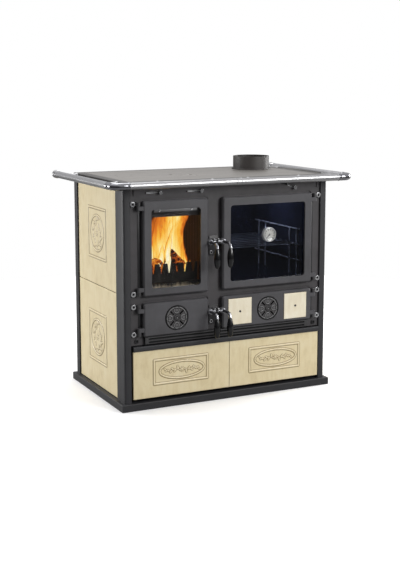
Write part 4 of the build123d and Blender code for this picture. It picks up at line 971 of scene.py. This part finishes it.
# -------------------- corner posts
def corner_post(side, corner_y, tile_y, bend):
    """A folded post as a section carried up: a flange behind the tiles' edge, a side, a bend of the given
    radius, a face and a return, each the sheet's thickness."""
    inward = math.copysign(1, tile_y - corner_y)
    middle_y = (corner_y + tile_y) / 2
    thickness, face_width, return_depth, face_middle_x = 2.5, 29.0, 20.0, 418.0

    def skin(depth, radius, small):
        side_x, face_x = body_side - depth, body_side - face_width + depth
        face_y, flange_y = corner_y + inward * depth, tile_y - inward * depth
        return_y = corner_y + inward * return_depth
        flange = eased([(tile_back_x, flange_y), (side_x, flange_y), (side_x, middle_y)], small, 3)
        corner = eased([(side_x, middle_y), (side_x, face_y), (face_middle_x, face_y)], radius, 8)
        face = eased([(face_middle_x, face_y), (face_x, face_y), (face_x, return_y)], small, 3)
        return np.concatenate([flange[:-1], corner[:-1], face])

    inner = skin(thickness, max(bend - thickness, 1.2), 0.6)
    x, y = np.concatenate([skin(0.0, bend, 2.4), inner[::-1]]).T
    levels = [post_bottom, post_bottom + 0.5, 200.0, 400.0, 600.0, post_top - 0.5, post_top]
    return lofted(points_of(side * x, y, np.array(levels)[:, None]))


# the rear posts wear the darker, painted-shade copy of the posts' paint
posts = [corner_post(side, body_back, post_tile_y, 4.0) for side in (-1, 1)]
made_piece("rear_posts_folded", posts, "sheet_black_shaded", "rear_columns")
posts = [corner_post(side, body_front, body_front + 74.0, 20.0) for side in (-1, 1)]
made_piece("front_posts_folded", posts, "sheet_black", "front_columns")


# -------------------- hand rail
def rail_line(side, before, after, steps):
    """The rail's middle line: its places before the corner's bend and after it, at the distances given, and
    the quarter circle between them."""
    turn = np.linspace(0, np.pi / 2, steps)
    round_x, round_y = bend_x + rail_corner * np.cos(turn), bend_y - rail_corner * np.sin(turn)
    x = np.concatenate([np.full(len(before), rail_side), round_x, bend_x - after])
    y = np.concatenate([bend_y + before, round_y, np.full(len(after), rail_front)])
    return points_of(side * x, y, rail_height)


def rail_tube(side):
    """Half the rail: from its rear end to the middle of the front."""
    before = np.linspace(rail_end - 1 - bend_y, 0, 24)[:-1]
    after = np.linspace(0, bend_x - 0.4, 30)[1:]
    return swept(rail_line(side, before, after, 15), rail_radius, (0, 0, 1), 32)


def rail_elbow(side):
    """The polished bend over the tube's corner: the tube's own line from 22 mm before the bend to 26 mm past
    it, a hair thicker than the tube, with a bead at either end."""
    before = np.array([22.0, 20.6, 19.0, 17.4, 16.0, 8.0])
    after = np.array([6.0, 14.0, 20.0, 21.4, 23.0, 24.6, 26.0])
    path = rail_line(side, before, after, 17)
    radii = np.full(len(path), 13.9)
    radii[:5] = (13.6, 14.5, 14.65, 14.5, 13.9)
    radii[-5:] = radii[4::-1]
    return swept(path, radii, (0, 0, 1), 40)


def rail_stay(start, end, radius=7.0):
    """A stay between the hob and the tube, with a collar at the hob."""
    start, end = np.array([*start, rail_height]), np.array([*end, rail_height])
    share = np.array([0, 0.02, 0.1, 0.14, 0.2, 1.0])
    path = start + share[:, None] * (end - start)
    return swept(path, radius + np.array([1.5, 2.5, 2.5, 1, 0, 0]), (0, 0, 1), 24)


for word, side in SIDES.items():
    made_piece(f"rail_{word}_tube", rail_tube(side), "rail_steel", "rail_" + word)

# Each end is turned: two beads with grooves between them and a domed knob.
knob = [(0, 0), (13.5, 0), (13.5, 5), (11, 5.5), (11, 8.5), (16, 9), (16, 14), (11, 14.5), (11, 17.5)]
knob = eased([*knob, (16, 19), (16, 30), (9, 34), (0, 34)], 1.6, 4)
sleeve = [(0, -12), (14.7, -12), (14.7, -8.6), (14.1, -8), (14.1, 8), (14.7, 8.6), (14.7, 12), (0, 12)]
rail_fittings = [turned(knob, (side * rail_side, rail_end, rail_height), "back", 40) for side in (-1, 1)]
rail_fittings.append(turned(eased(sleeve, 0.5, 2), (0, rail_front, rail_height), "side", 40))
made_piece("rail_fittings_turned", rail_fittings, "rail_steel", "rail_fittings")
elbows = [rail_elbow(side) for side in (-1, 1)]
made_piece("rail_elbows", elbows, "elbow_polish", None)

# A stay's start, its end and its bolt's place, at the sides and at the front.
side_stay_x, front_stay_y = (436.0, 483.5, 473.5), (-240.4, -294.9, -284.9)
side_stays_y, front_stays_x, bolt_z = (-190.4, 228.6), (-300.0, -75.0, 75.0, 300.0), 836.5
places = [[(side * x, y) for x in side_stay_x] for side in (-1, 1) for y in side_stays_y]
places += [[(x, y) for y in front_stay_y] for x in front_stays_x]
bolt = eased([(0, -8), (3.6, -8), (5, -6.4), (5, 0), (0, 0)], 0.8, 3)
stays = []
for start, end, bolt_place in places:
    stays += [rail_stay(start, end), turned(bolt, (*bolt_place, bolt_z), "up", 20)]
made_piece("rail_brackets_turned", stays, "rail_steel", "rail_brackets")


# -------------------- levers and grips
def lever(x, z, side, reach):
    """A bent lever: the round section follows the spindle's line to the front, turns down along a quarter
    circle and runs into the grip, swelling to a bead above it; its collars are turned and its tongue is a
    soft bar."""
    bend = 16.5
    turn = np.linspace(0, np.pi / 2, 12)
    run_out = np.linspace(tongue_front + 3, grip_y + bend, 9)[:-1]
    down = z - np.array([17.5, 19.0, 20.5, 22.0, 41.5])
    path_y = np.concatenate([run_out, grip_y + bend - bend * np.sin(turn), np.full(len(down), grip_y)])
    path_z = np.concatenate([np.full(len(run_out), z), z - bend + bend * np.cos(turn), down])
    radii = np.full(len(path_y), 5.0)
    radii[:3] = (7.4, 6.4, 5.4)
    radii[8:17] = 5.0 + 0.7 * np.sin(np.linspace(0, np.pi, 9))
    radii[-8:] = (5.2, 6.2, 7.0, 6.2, 5.0, 3.4, 3.4, 3.4)
    washer = [(0, 237.1), (10, 237.1), (10, 233.1), (6, 233.1), (6, -door_face), (0, -door_face)]
    collar = [(0, 249.0), (9.6, 249.7), (10, 250.6), (10, 253.0), (8.4, 253.9), (10, 254.8), (10, 258.6)]
    collar += [(8.6, 259.7), (0, 259.7)]
    across = sorted((x, x + side * reach))
    return [
        swept(points_of(x, path_y, path_z), radii, (1, 0, 0), 28),
        turned(eased(washer, 0.5, 2), (x, 0, z), "front", 32),
        turned(eased(collar, 0.5, 3), (x, 0, z), "front", 36),
        soft_plate(across, (z - 4.5, z + 4.5), 4.2, collar_front - 0.1, tongue_front, 1.2),
    ]


def grip(x, z):
    """A turned grip: a smooth curve of radius against drop, full at the middle and rounded at its foot."""
    drop = np.array([0, 0.8, 2.5, 8, 16, 26, 38, 50, 60, 67, 71.5, 74, 75.0])
    radius = np.array([4.6, 5.8, 6.4, 7.9, 9.9, 11.7, 12.5, 11.9, 10.3, 8.6, 6.6, 3.8, 0.0])
    fine_drop = np.interp(np.linspace(0, 1, 61), np.linspace(0, 1, len(drop)), drop)
    fine_radius = smoothed(np.interp(fine_drop, drop, radius), 2)
    profile = np.concatenate([[(0.0, 0.0)], points_of(fine_radius, -fine_drop)])
    return turned(profile, (x, grip_y, z - grip_drop), "up", 40)


for name, (x, z, side, reach) in spindles.items():
    made_piece(name + "_lever", lever(x, z, side, reach), "lever_chrome", name + "_handle")
    made_piece(name + "_grip_turned", grip(x, z), "grip_black", name + "_grip")


# -------------------- screws and keepers
def hexagon(angle):
    """A hexagon's radius by angle, as a share of the radius to its corners."""
    return math.cos(math.pi / 6) / np.cos((angle % (math.pi / 3)) - math.pi / 6)


def cap_screw(x, z, y_seat, head=6.8, height=5.0, socket=3.6, material=0):
    """A cap screw's head: a short turned head with a soft rim, and a hexagon socket sunk in it, darkened
    inside as painted shade.
    """
    count = 36
    angle = full_turn(count)
    rim = eased([(0.0, 0), (head, 0), (head, height), (socket + 0.9, height)], 0.8, 3)
    sunk = np.array([(1.05, height), (0.98, height - 0.3), (0.95, height - 3.0), (0.0, height - 3.4)])
    radii = np.concatenate([rim[:, :1] * np.ones(count), sunk[:, :1] * socket * hexagon(angle)])
    depths = np.concatenate([rim, sunk])[:, 1:]
    loops = points_of(x + radii * np.cos(angle), y_seat - depths, z + radii * np.sin(angle))
    # painted shade: the socket's walls and floor are marked to be darkened
    deep = np.repeat([0.0] * (len(rim) + 1) + [0.5, 1.0, 1.0], count)
    return lofted(loops, material=material, deep=deep)


def air_register(centre):
    """A round register as a grid of radius and angle. The angle's lines run beside the four slots at constant
    distances from their middles, and the slots' quads are left out, with walls from front to back round them.
    The front rises in a rim, in four ringed petals and in a hub with a pocket; its edge falls away to the
    door. Its grooves, pocket, back and slot walls carry painted shade, and its raised tops a painted
    highlight."""
    outer, back_y, half_slot, slot_ends = 46.0, -245.4, 3.0, (17.0, 39.0)
    rim_at, petal_at, petal_long, petal_wide, hub_radius, pocket_radius = 39.6, 28.5, 11.0, 9.5, 9.4, 6.0
    beside = np.array([0.0, 1.5, 2.4, half_slot, 3.6, 4.6, 6.4, 8.2])
    bands = ((0, 10.5, 15), (11.4, 17, 8), (17.8, 38.2, 27), (39, outer, 15))
    radius = np.concatenate([np.linspace(*band) for band in bands])
    slot_angle = np.arcsin(np.clip(beside / np.maximum(radius, 12.0)[:, None], 0, 1))
    last = slot_angle[:, -1:]
    eighth = np.concatenate([slot_angle, last + (np.pi / 4 - last) * np.linspace(0, 1, 9)[1:]], 1)
    sector = np.concatenate([eighth, (np.pi / 2 - eighth[:, ::-1])[:, 1:-1]], 1)
    angle = np.concatenate([sector + (k + 0.5) * np.pi / 2 for k in range(4)], 1)
    rows, columns = angle.shape
    between = np.full(sector.shape[1] - 2 * len(beside) + 1, 99.0)
    offset = np.tile(np.concatenate([beside, between, beside[:0:-1]]), 4)

    u, v = radius[:, None] * np.cos(angle), radius[:, None] * np.sin(angle)
    away = np.broadcast_to(radius[:, None], u.shape)
    rim = ridge(away - rim_at, 4.4, 1.3)
    near, far = np.minimum(np.abs(u), np.abs(v)), np.maximum(np.abs(u), np.abs(v))
    measure = np.hypot((far - petal_at) / petal_long, near / petal_wide)
    petal = ridge((measure - 1) * petal_wide, 3.6, 1.2) + 0.5 * domed(measure / 0.66)
    hub = 2.4 * risen(hub_radius - away, 1.1) - 2.0 * risen(pocket_radius - away, 1.0)
    crescent = 1.5 * risen(3.4 - np.hypot(u - 1.0, v + 0.8), 0.9)
    height = np.maximum(np.maximum(rim, petal), hub + crescent) - 3.6 * risen(away - outer + 1.6, 1.6) ** 2
    # Painted shade: the outer fall, the grooves by the rim and the hub, the pocket and the petals' outlines
    # are marked to be darkened near black.
    wells = risen(away - rim_at - 2.0, 0.8) + risen(1.35 - np.abs(away - rim_at + 3.0), 0.9)
    wells += risen(1.92 - np.abs(away - hub_radius - 2.0), 1.2) + risen(pocket_radius - 0.2 - away, 0.5)
    wells += risen(0.15 - np.abs(np.abs(measure - 1) - 0.3), 0.1) * 0.9
    wells = np.clip(wells, 0, 1) * (crescent < 0.2)
    # Painted highlight: the raised rim, petals and crescent are marked to be painted paler.
    worn = risen(np.maximum(rim, np.maximum(petal, crescent)), 1.2) * (wells < 0.3)

    row, column = np.repeat(np.arange(rows - 1), columns), np.tile(np.arange(columns), rows - 1)
    in_slot = (radius[row] >= slot_ends[0] - 0.01) & (radius[row + 1] <= slot_ends[1] + 0.01)
    in_slot &= np.maximum(offset[column], offset[(column + 1) % columns]) <= half_slot + 0.01
    gap = in_slot.reshape(rows - 1, columns)
    count = rows * columns
    walls = []
    for step, axis in ((1, 1), (-1, 1), (1, 0), (-1, 0)):
        row, column = np.nonzero(gap & ~np.roll(gap, -step, axis))
        next_row, next_column = row + 1, (column + 1) % columns
        if axis:
            column = next_column if step == 1 else column
            first, second = row * columns + column, next_row * columns + column
        else:
            row = next_row if step == 1 else row
            first, second = row * columns + column, row * columns + next_column
        walls.append(np.stack([first, second, second + count, first + count], 1))
    ring = (rows - 1) * columns + np.arange(columns)
    walls.append(np.stack([ring, np.roll(ring, -1), np.roll(ring, -1) + count, ring + count], 1))
    kept = grid_quads(rows, columns, False, True)[~in_slot]
    faces = [kept, kept + count, np.concatenate(walls)]
    points = [points_of(centre[0] + u, y, centre[1] + v).reshape(-1, 3) for y in (door_face - height, back_y)]
    # The back and the slots' walls are all painted shade.
    numbers = {"deep": np.append(wells, np.ones(count)), "worn": np.append(worn, np.zeros(count))}
    return Shell(np.concatenate(points), faces, **numbers)


for node, centre in register_centres.items():
    made_piece(node + "_cast", air_register(centre), "register_black", node, 50.0)

# A dark strip lies in the rebate behind each door's hinged edge, with soft front edges: a painted shade
# standing in for the gap's shadow.
strip_x, strip_spans, strip_depth = (361.0, 374.5), ((454.0, 754.0), (303.0, 375.0)), 1.6
strips = [
    soft_plate(sorted(side * x for x in strip_x), z, 1.2, frame_front, frame_front - strip_depth, 0.6)
    for side in (-1, 1)
    for z in strip_spans
]
made_piece("hinge_gap_painted_shade", strips, "black_screw", None)

hinge_screw_x, hinge_screw_levels = 395.5, (769.5, 438.5, 390.5, 287.5)
low_screw_x, low_screw_z, keeper_x = 382.0, 260.0, -64.0
screws = []
for side in (-1, 1):
    for z in hinge_screw_levels:
        screws.append(cap_screw(side * hinge_screw_x, z, hinge_front, head=9.8, socket=5.2))
    screws.append(cap_screw(side * low_screw_x, low_screw_z, frame_front, head=8.0, socket=4.6, material=1))
    for level in lever_levels:
        screws.append(cap_screw(keeper_x + side * 12, level - 41, keeper_front))
made_piece("frame_screws_capped", screws, "screw_steel black_screw", "frame_screws")

keepers = []
stud = eased([(0, 0), (4, 0), (4, 30.3), (2.4, 30.3), (2.4, 25.0), (0, 25.0)], 0.5, 2)
for level in lever_levels:
    span_x = keeper_x - 20, keeper_x + 20
    keepers.append(soft_plate(span_x, (level - 54, level + 22), 3.0, frame_front, keeper_front, 0.7))
    for x in (keeper_x - 8, keeper_x + 8):
        keepers.append(turned(stud, (x, keeper_front, level + 8.8), "front", 28, material=1))
        # painted shade: the stud's bore is marked to be darkened near black
        keepers[-1].numbers["deep"] = np.repeat(stud[:, 0] < 2.45, 28).astype(float)
made_piece("latch_keepers_shaped", keepers, "keeper_black screw_steel", "latch_keepers")

clip_front, clip_x, clip_z, clip_screws_x = glass_front - 3.0, (-315, -139), (736, 748), (-292.0, -162.0)
clip_screw = eased([(0, -1), (4, -1), (4, 1.4), (2.6, 3), (1.4, 3), (1.2, 1.6), (0, 1.6)], 0.6, 3)
clip = [soft_plate(clip_x, clip_z, 1.2, glass_front, clip_front, 0.8)]
places = [(x, clip_front, sum(clip_z) / 2) for x in clip_screws_x]
clip += [turned(clip_screw, place, "front", 28, material=1) for place in places]
made_piece("firebox_clip_bar", clip, "clip_grey screw_steel", "firebox_glass_clip")

tile_screw = [(0, -6), (3, -6), (3, 0), (4.5, 0), (4.3, 0.8), (2.6, 1.5), (1.3, 1.5), (1.1, 0.6), (0, 0.6)]
tile_screw = eased(tile_screw, 0.3, 2)
tile_screws = [turned(tile_screw, (x, small_tile_back, lower_middle), "front", 28) for x in small_tile_x]
made_piece("tile_screws_turned", tile_screws, "black_screw", "tile_screws")


# -------------------- oven thermometer
tick_back, tick_front, pin_back = -251.6, -251.85, -251.5


def tick(k):
    """One of the scale's 28 raised ticks, laid round three quarters of a turn, with every third one
    longer."""
    half, inner, outer = (1.0, 15.6, 21.8) if k % 3 == 0 else (0.55, 18.6, 21.8)
    turn = math.radians(225 - 270 * k / 27)
    out = np.array([math.cos(turn), math.sin(turn)])
    side = half * np.array([-out[1], out[0]])
    corners = [out * inner - side, out * outer - side, out * outer + side, out * inner + side]
    corners = np.array(corners) + gauge
    return lofted([standing(corners, tick_back), standing(corners, tick_front)], material=2)


x, z = gauge
centre = (x, glass_front, z)
case = [(0, 0), (28, 0), (28, 13.5), (27.2, 15.4), (26, 16), (24.9, 15.2), (24.9, 12.1), (0, 12.1)]
stem = eased([(0, 0), (4, 0), (4, 36), (2, 38), (0, 38)], 1, 2)
card = [(0, 12.0), (24.6, 12.0), (24.6, 12.25), (0, 12.25)]
pin = eased([(0, 0), (1.2, 0), (1.2, 2.8), (0, 3.2)], 0.3, 2)
band = [(22.9, 12.1), (24.9, 12.1), (24.9, 12.5), (22.9, 12.5)]
lens = eased([(0, 14.4), (24.7, 14.4), (24.7, 14.9), (12, 15.5), (0, 15.6)], 0.3, 2)
thermometer = [
    turned(eased(case, 1.2, 3), centre, "front", 56),
    turned(stem, (x, glass_front - 1, z), "back", 20),
    turned(card, centre, "front", 56, material=1),
    turned(pin, (x, pin_back, z), "front", 16),
    turned(band, centre, "front", 56, wrap=True, material=2),
    *(tick(k) for k in range(28)),
]
finishes = "bezel_bright dial_card needle_dark"
made_piece("thermometer_cased", thermometer, finishes, "thermometer")
lens = turned(lens, centre, "front", 48)
made_piece("thermometer_lens", lens, "glass_clear", None, body=node_bodies["thermometer"])


# -------------------- burning logs
def evenly(points, count):
    """A closed outline's points laid out again at equal steps along it."""
    closed = np.concatenate([points, points[:1]])
    run = run_along(closed)
    at = np.linspace(0, run[-1], count, endpoint=False)
    return points_of(np.interp(at, run, closed[:, 0]), np.interp(at, run, closed[:, 1]))


def burning_log(outline, radius, centre, length, seed, charred=-200.0, front_y=-173.4):
    """A log: its section is carried back from its front end, roughened by sums of sines of the angle and the
    depth, and its two ends are drawn in to their middle, the front one over a crumbled face. Left of the
    place charred, measured from its centre, it hardly glows."""
    outline = evenly(np.asarray(outline, float) * radius, 72) * 0.965
    middle = outline.mean(0)
    away = outline - middle
    angle = np.arctan2(away[:, 1], away[:, 0])
    end = [(0.0, 6.5), (0.3, 4.5), (0.55, 5.5), (0.78, 3.0), (0.93, 1.2), (1.0, 3.5)]
    stations = end + [(1.0, depth) for depth in np.linspace(9, length - 6, 26)]
    stations += [(share, length - depth) for share, depth in end[::-1]]
    phases = np.random.default_rng(seed).uniform(0, 2 * np.pi, (7, 2))
    loops, ember = [], []
    for share, depth in stations:
        rough = sum(
            math.sin(depth / (9 + 7 * k) + phases[k, 0])
            * np.sin((3 + 2 * k) * angle + phases[k, 1])
            / (1.2 + 0.5 * k)
            for k in range(7)
        )
        scale = share * (1 - 0.022 * (1 + np.clip(rough, -1.6, 1.6) / 1.6))
        x, z = (middle + away * scale[:, None]).T
        crumble = np.abs(1.6 * np.sin(5 * angle + phases[2, 0] + share * 4) * share) if depth < 8 else 0
        loops.append(points_of(centre[0] + x, front_y + depth + crumble, centre[1] + z))
        front_glow = math.exp(-max(depth - 4, 0) / 46)
        top_glow = np.clip(0.35 + 0.65 * away[:, 1] / np.abs(away[:, 1]).max(), 0, 1)
        alight = np.clip((x - charred) / 12, 0.3, 1)
        ember.append(np.clip(front_glow * (0.45 + 0.55 * share) + 0.55 * top_glow, 0, 1) * alight)
    return lofted(loops, ember=np.concatenate(ember))


def arc(start, end, count):
    """Points of a circle of radius 1 from one angle to another, both in half turns."""
    angle = np.linspace(start * np.pi, end * np.pi, count)
    return points_of(np.cos(angle), np.sin(angle))


half_round = arc(0, 1, 28)
quarter_split = np.concatenate([[(0.0, 0.0)], arc(-0.75, -0.25, 24)])
logs = [
    burning_log(half_round, 62, (-282.7, 441.6), 290, 3),
    burning_log(half_round, 50, (-159.3, 441.4), 270, 5),
    burning_log(quarter_split, 104, (-205.4, 586.2), 250, 8, -4.0, -168.4),
    burning_log(arc(0, 2, 41)[:-1], 38, (-279.0, 519.0), 230, 13, -200.0, -176.4),
]
made_piece("logs_burning", logs, "charred_wood", "logs", 50.0)


# -------------------- flames
def tongue_of_flame(x, y, z, height, width, lean, seed, hot):
    """One tongue: an oval section carried up a wavering line, swelling from its foot and thinning to its tip.
    Its heat is greatest in the middle of its width and low down."""
    phase = np.random.default_rng(seed).uniform(0, 2 * np.pi, 4)
    rise = np.linspace(0, 1, 30)[:, None]
    turn = full_turn(24)
    line_x = x + lean * rise**1.4 + 7 * rise * np.sin(5.2 * rise + phase[0])
    line_x = line_x + 3 * rise * np.sin(11 * rise + phase[1])
    line_y = y + 6 * rise * np.sin(4 * rise + phase[2])
    swell = (0.55 + 0.45 * np.sin(np.pi * np.clip(rise * 1.5, 0, 1))) * np.clip(1 - rise**2.2, 0, 1) ** 0.85
    half = 0.5 * width * swell * (1 + 0.1 * np.sin(9 * rise + phase[3]))
    loops = points_of(line_x + half * np.cos(turn), line_y + 0.3 * half * np.sin(turn), z + height * rise)
    heat = hot * (0.25 + 0.75 * np.abs(np.sin(turn)) ** 0.8) * (1.0 - 0.5 * rise**1.5)
    return lofted(loops, warmth=heat)


def bell(away, width):
    """A bell curve: 1 in the middle and 1 / e at the width from it."""
    return np.exp(-((away / width) ** 2))


def flame_body(levels, left, right, y, depth, hot):
    """The body of the fire: an oval section as wide as the fire at each level. With u its share from left to
    right and v its share of the height, its heat is a bell round u = 0.62 - 0.1 v that fades upwards, and a
    second bell at the lower left; it falls away at both edges."""
    v = np.linspace(0, 1, 56)[:, None]
    z = levels[0] + (levels[-1] - levels[0]) * v
    low_x, high_x = (smoothed(np.interp(z, levels, edge), 4) for edge in (left, right))
    turn = full_turn(96)
    u = 0.5 - 0.5 * np.cos(turn)
    fold = 7 * np.sin(9 * u + 3 * v) + 4 * np.sin(21 * u - 5 * v + 1)
    thin = np.clip(np.minimum(v / 0.04, (1 - v) / 0.05), 0.02, 1)
    loops = points_of(low_x + (high_x - low_x) * u, y + fold + depth * np.sin(turn) * thin, z)
    heat = 0.28 + 0.74 * bell(u - 0.62 + 0.1 * v, 0.34) * (1 - 0.42 * v**2)
    heat = heat + 0.5 * (1 - v) ** 1.6 * bell(u - 0.16, 0.24)
    heat = heat * np.clip(np.minimum(u / 0.05, (1 - u) / 0.06), 0, 1) ** 0.6
    return lofted(loops, warmth=hot * heat)


fire = [
    flame_body(
        (476, 515, 540, 573, 610, 647, 679, 704, 740, 772),
        (-322, -322, -316, -304, -292, -280, -272, -266, -262, -258),
        (-136, -130, -130, -144, -151, -155, -145, -128, -122, -126),
        y=-148,
        depth=9,
        hot=1.0,
    ),
    flame_body(
        (480, 520, 560, 610, 660, 710, 768),
        (-316, -316, -306, -296, -284, -262, -252),
        (-150, -140, -146, -150, -152, -136, -140),
        y=-116,
        depth=12,
        hot=0.7,
    ),
]
tongues = [
    # x, y, z, height, width, lean, seed, hot
    (-296, -166, 470, 150, 30, 10, 13, 1.0),
    (-258, -166, 500, 150, 30, 12, 14, 1.1),
    (-226, -166, 540, 140, 30, 14, 16, 1.15),
    (-318, -162, 470, 120, 22, 0, 15, 0.9),
    (-150, -162, 478, 104, 22, 2, 11, 1.0),
    (-138, -160, 474, 66, 16, 6, 12, 0.9),
    (-312, -177.5, 452, 70, 24, 0, 17, 1.2),
    (-278, -177.5, 452, 62, 26, 0, 18, 1.7),
    (-244, -177.5, 452, 60, 24, 0, 19, 1.7),
    (-212, -177.5, 452, 60, 24, 0, 20, 1.5),
    (-180, -177.5, 452, 58, 20, 0, 21, 0.9),
]
fire += [tongue_of_flame(*row) for row in tongues]
made_piece("flames", fire, "flame", sharp=80.0)


# -------------------- the rest: CAD nodes, eased or as they are
for nodes, finish, slot, width in (
    # nodes, finish, slot, edge width
    ("plinth", "sheet_black", "sheet_black", 1.0),
    ("front_frame", "frame_black", "cast_black", 1.4),
    ("front_ledge", "ledge_black", "cast_black", 0.8),
    ("hob_frame", "hob_border", "hob_border", 1.0),
    ("hob_plate hob_ring hob_lid", "hob_grey", "hob_grey", 0.5),
    ("flue_collar", "collar_black", "collar_black", 0.8),
    ("hinge_brackets", "hinge_steel", "hinge_steel", 0.8),
    ("hinge_pins", "screw_steel", "screw_steel", 0.6),
    ("firebox_door oven_door", "cast_black", "cast_black", 1.8),
    ("ash_door lower_door", "cast_black", "cast_black", 1.4),
    ("air_slide_left air_slide_right damper_slide", "slide_painted_light", "lever_chrome", 0.7),
    ("log_guard", "sooty_iron", "cast_black", 0.8),
    ("grate", "sooty_iron", "cast_black", 0.6),
    ("firebox_linings", "firebrick", "firebrick", 0.7),
    ("drawer_box", "sheet_black", "sheet_black", 0.4),
):
    for node in nodes.split():
        eased_copy(node, looks[finish], width)

for finish, nodes in {
    "needle_dark": "thermometer_needle",
    "inner_steel": "side_panels rear_panel mid_floor ash_pan drawer_runners",
    "glass_clear": "firebox_glass",
    "glass_dark": "oven_glass",
    "shell_steel": "firebox_shell",
    "sooty_iron": "firebox_floor",
    "oven_enamel": "oven_box",
    "wire_steel": "oven_ladders",
    "wire_steel_shaded": "oven_shelf",
}.items():
    for node in nodes.split():
        dress(node, looks[finish])


# -------------------- studio and camera
def grey(value):
    """A plain grey as linear light."""
    return (value, value, value, 1.0)


def studio_floor():
    """A plain pale floor: a wide disc, pale to the camera and darker to the cooker."""
    w = blank(bpy.data.materials, "studio_floor")
    seen = w.put("LightPath").outputs["Is Camera Ray"]
    pale = w.ramp(w.noise(w.place(), 2.0, 2.0), (0.0, grey(0.93)), (1.0, grey(0.96)))
    finish = w.close(
        w.mixed(seen, grey(0.26), pale),
        0.9,
        Specular_IOR_Level=0.1,
        Emission_Color=grey(1.0),
        Emission_Strength=w.math("MULTIPLY", seen, 0.1),
    )
    disc = turned([(0, -4.0), (2600, -4.0), (2600, 0.0), (0, 0.0)], (0, 0, -0.2), "up", 96)
    object_of("studio_floor", [disc], [finish], 40.0)


def studio_world():
    """White to the camera, and a soft pale dome, darker below the horizon and at the upper left, to the
    cooker."""
    w = blank(bpy.data.worlds, "studio")
    direction = w.put("TexCoord").outputs["Generated"]
    height = w.part(direction, "Z")
    below = ((0.0, grey(0.05)), (0.47, grey(0.08)))
    above = ((0.53, (0.4, 0.4, 0.41, 1)), (0.75, (0.75, 0.75, 0.77, 1)), (1.0, grey(0.9)))
    dome = w.ramp(w.span(height, -1.0, 1.0), *below, *above)
    towards = w.put("VectorMath", {0: direction, 1: (-0.9, -0.436, 0.0)}, operation="DOT_PRODUCT")
    towards_left = w.span(towards.outputs["Value"], 0.45, 0.85, smooth=True)
    dark_corner = w.math("MULTIPLY", towards_left, w.span(height, 0.25, 0.7, 0.85, 0.0))
    dome = w.mixed(dark_corner, dome, grey(0.03))
    colour = w.mixed(w.put("LightPath").outputs["Is Camera Ray"], dome, grey(1.0))
    backdrop = w.put("Background", {"Color": colour, "Strength": 1.0})
    w.put("OutputWorld", {"Surface": backdrop.outputs[0]})
    bpy.context.scene.world = w.owner


def soft_light(name, place, aim, size, power):
    """A rectangular soft light at place, facing aim."""
    lamp = bpy.data.lights.new(name, "AREA")
    lamp.shape = "RECTANGLE"
    lamp.size, lamp.size_y = size
    lamp.energy = power
    light = new_object(name, lamp)
    light.location = place
    x, y, z = np.array(place, float) - np.array(aim, float)
    light.rotation_euler = (math.atan2(math.hypot(x, y), z), 0.0, math.atan2(x, -y))


def inner_light(name, place, power, colour, size):
    """A small light inside the cooker, itself unseen."""
    lamp = bpy.data.lights.new(name, "POINT")
    lamp.energy = power
    lamp.color = colour
    lamp.shadow_soft_size = size
    light = new_object(name, lamp)
    light.location = place
    light.visible_camera = light.visible_glossy = light.visible_transmission = False


def set_camera():
    """The photograph's view: turned to the left of the front and a little above. The camera looks down less
    than it stands above the middle of the cooker, and its picture is shifted down to it: the uprights lean in
    less."""
    azimuth, elevation, distance = math.radians(-26.3), math.radians(10.6), 4.3551
    tilt = math.radians(8.6)
    target = np.array([-0.0011, 0.0131, 0.4001])
    level = math.cos(elevation)
    back = np.array([math.sin(azimuth) * level, -math.cos(azimuth) * level, math.sin(elevation)])
    data = bpy.data.cameras.new("camera")
    data.sensor_fit = "AUTO"
    data.sensor_width = 36.0
    data.lens = 68.3
    data.shift_y = -math.tan(elevation - tilt) * data.lens / data.sensor_width
    data.clip_start, data.clip_end = 0.05, 60.0
    camera = new_object("camera", data)
    camera.location = target + distance * back
    camera.rotation_euler = (math.pi / 2 - tilt, 0.0, azimuth)
    bpy.context.scene.camera = camera


studio_floor()
studio_world()
soft_light("key", (1.9, -3.5, 2.0), (0, 0, 0.5), (1.8, 1.6), 98)
soft_light("left", (-3.3, 2.0, 0.75), (0, 0, 0.5), (1.4, 1.0), 80)
soft_light("right", (3.3, 0.3, 1.25), (0, 0, 0.7), (0.9, 1.0), 80)
soft_light("top", (-0.3, 0.8, 3.2), (0, 0, 0.6), (2.2, 1.6), 38)
inner_light("fire_light", (-0.225, -0.10, 0.64), 0.5, (1.0, 0.5, 0.16), 0.03)
inner_light("oven_light", (0.2, -0.05, 0.735), 1.5, (0.78, 0.85, 1.0), 0.02)
set_camera()
bpy.context.scene.view_settings.view_transform = "Standard"
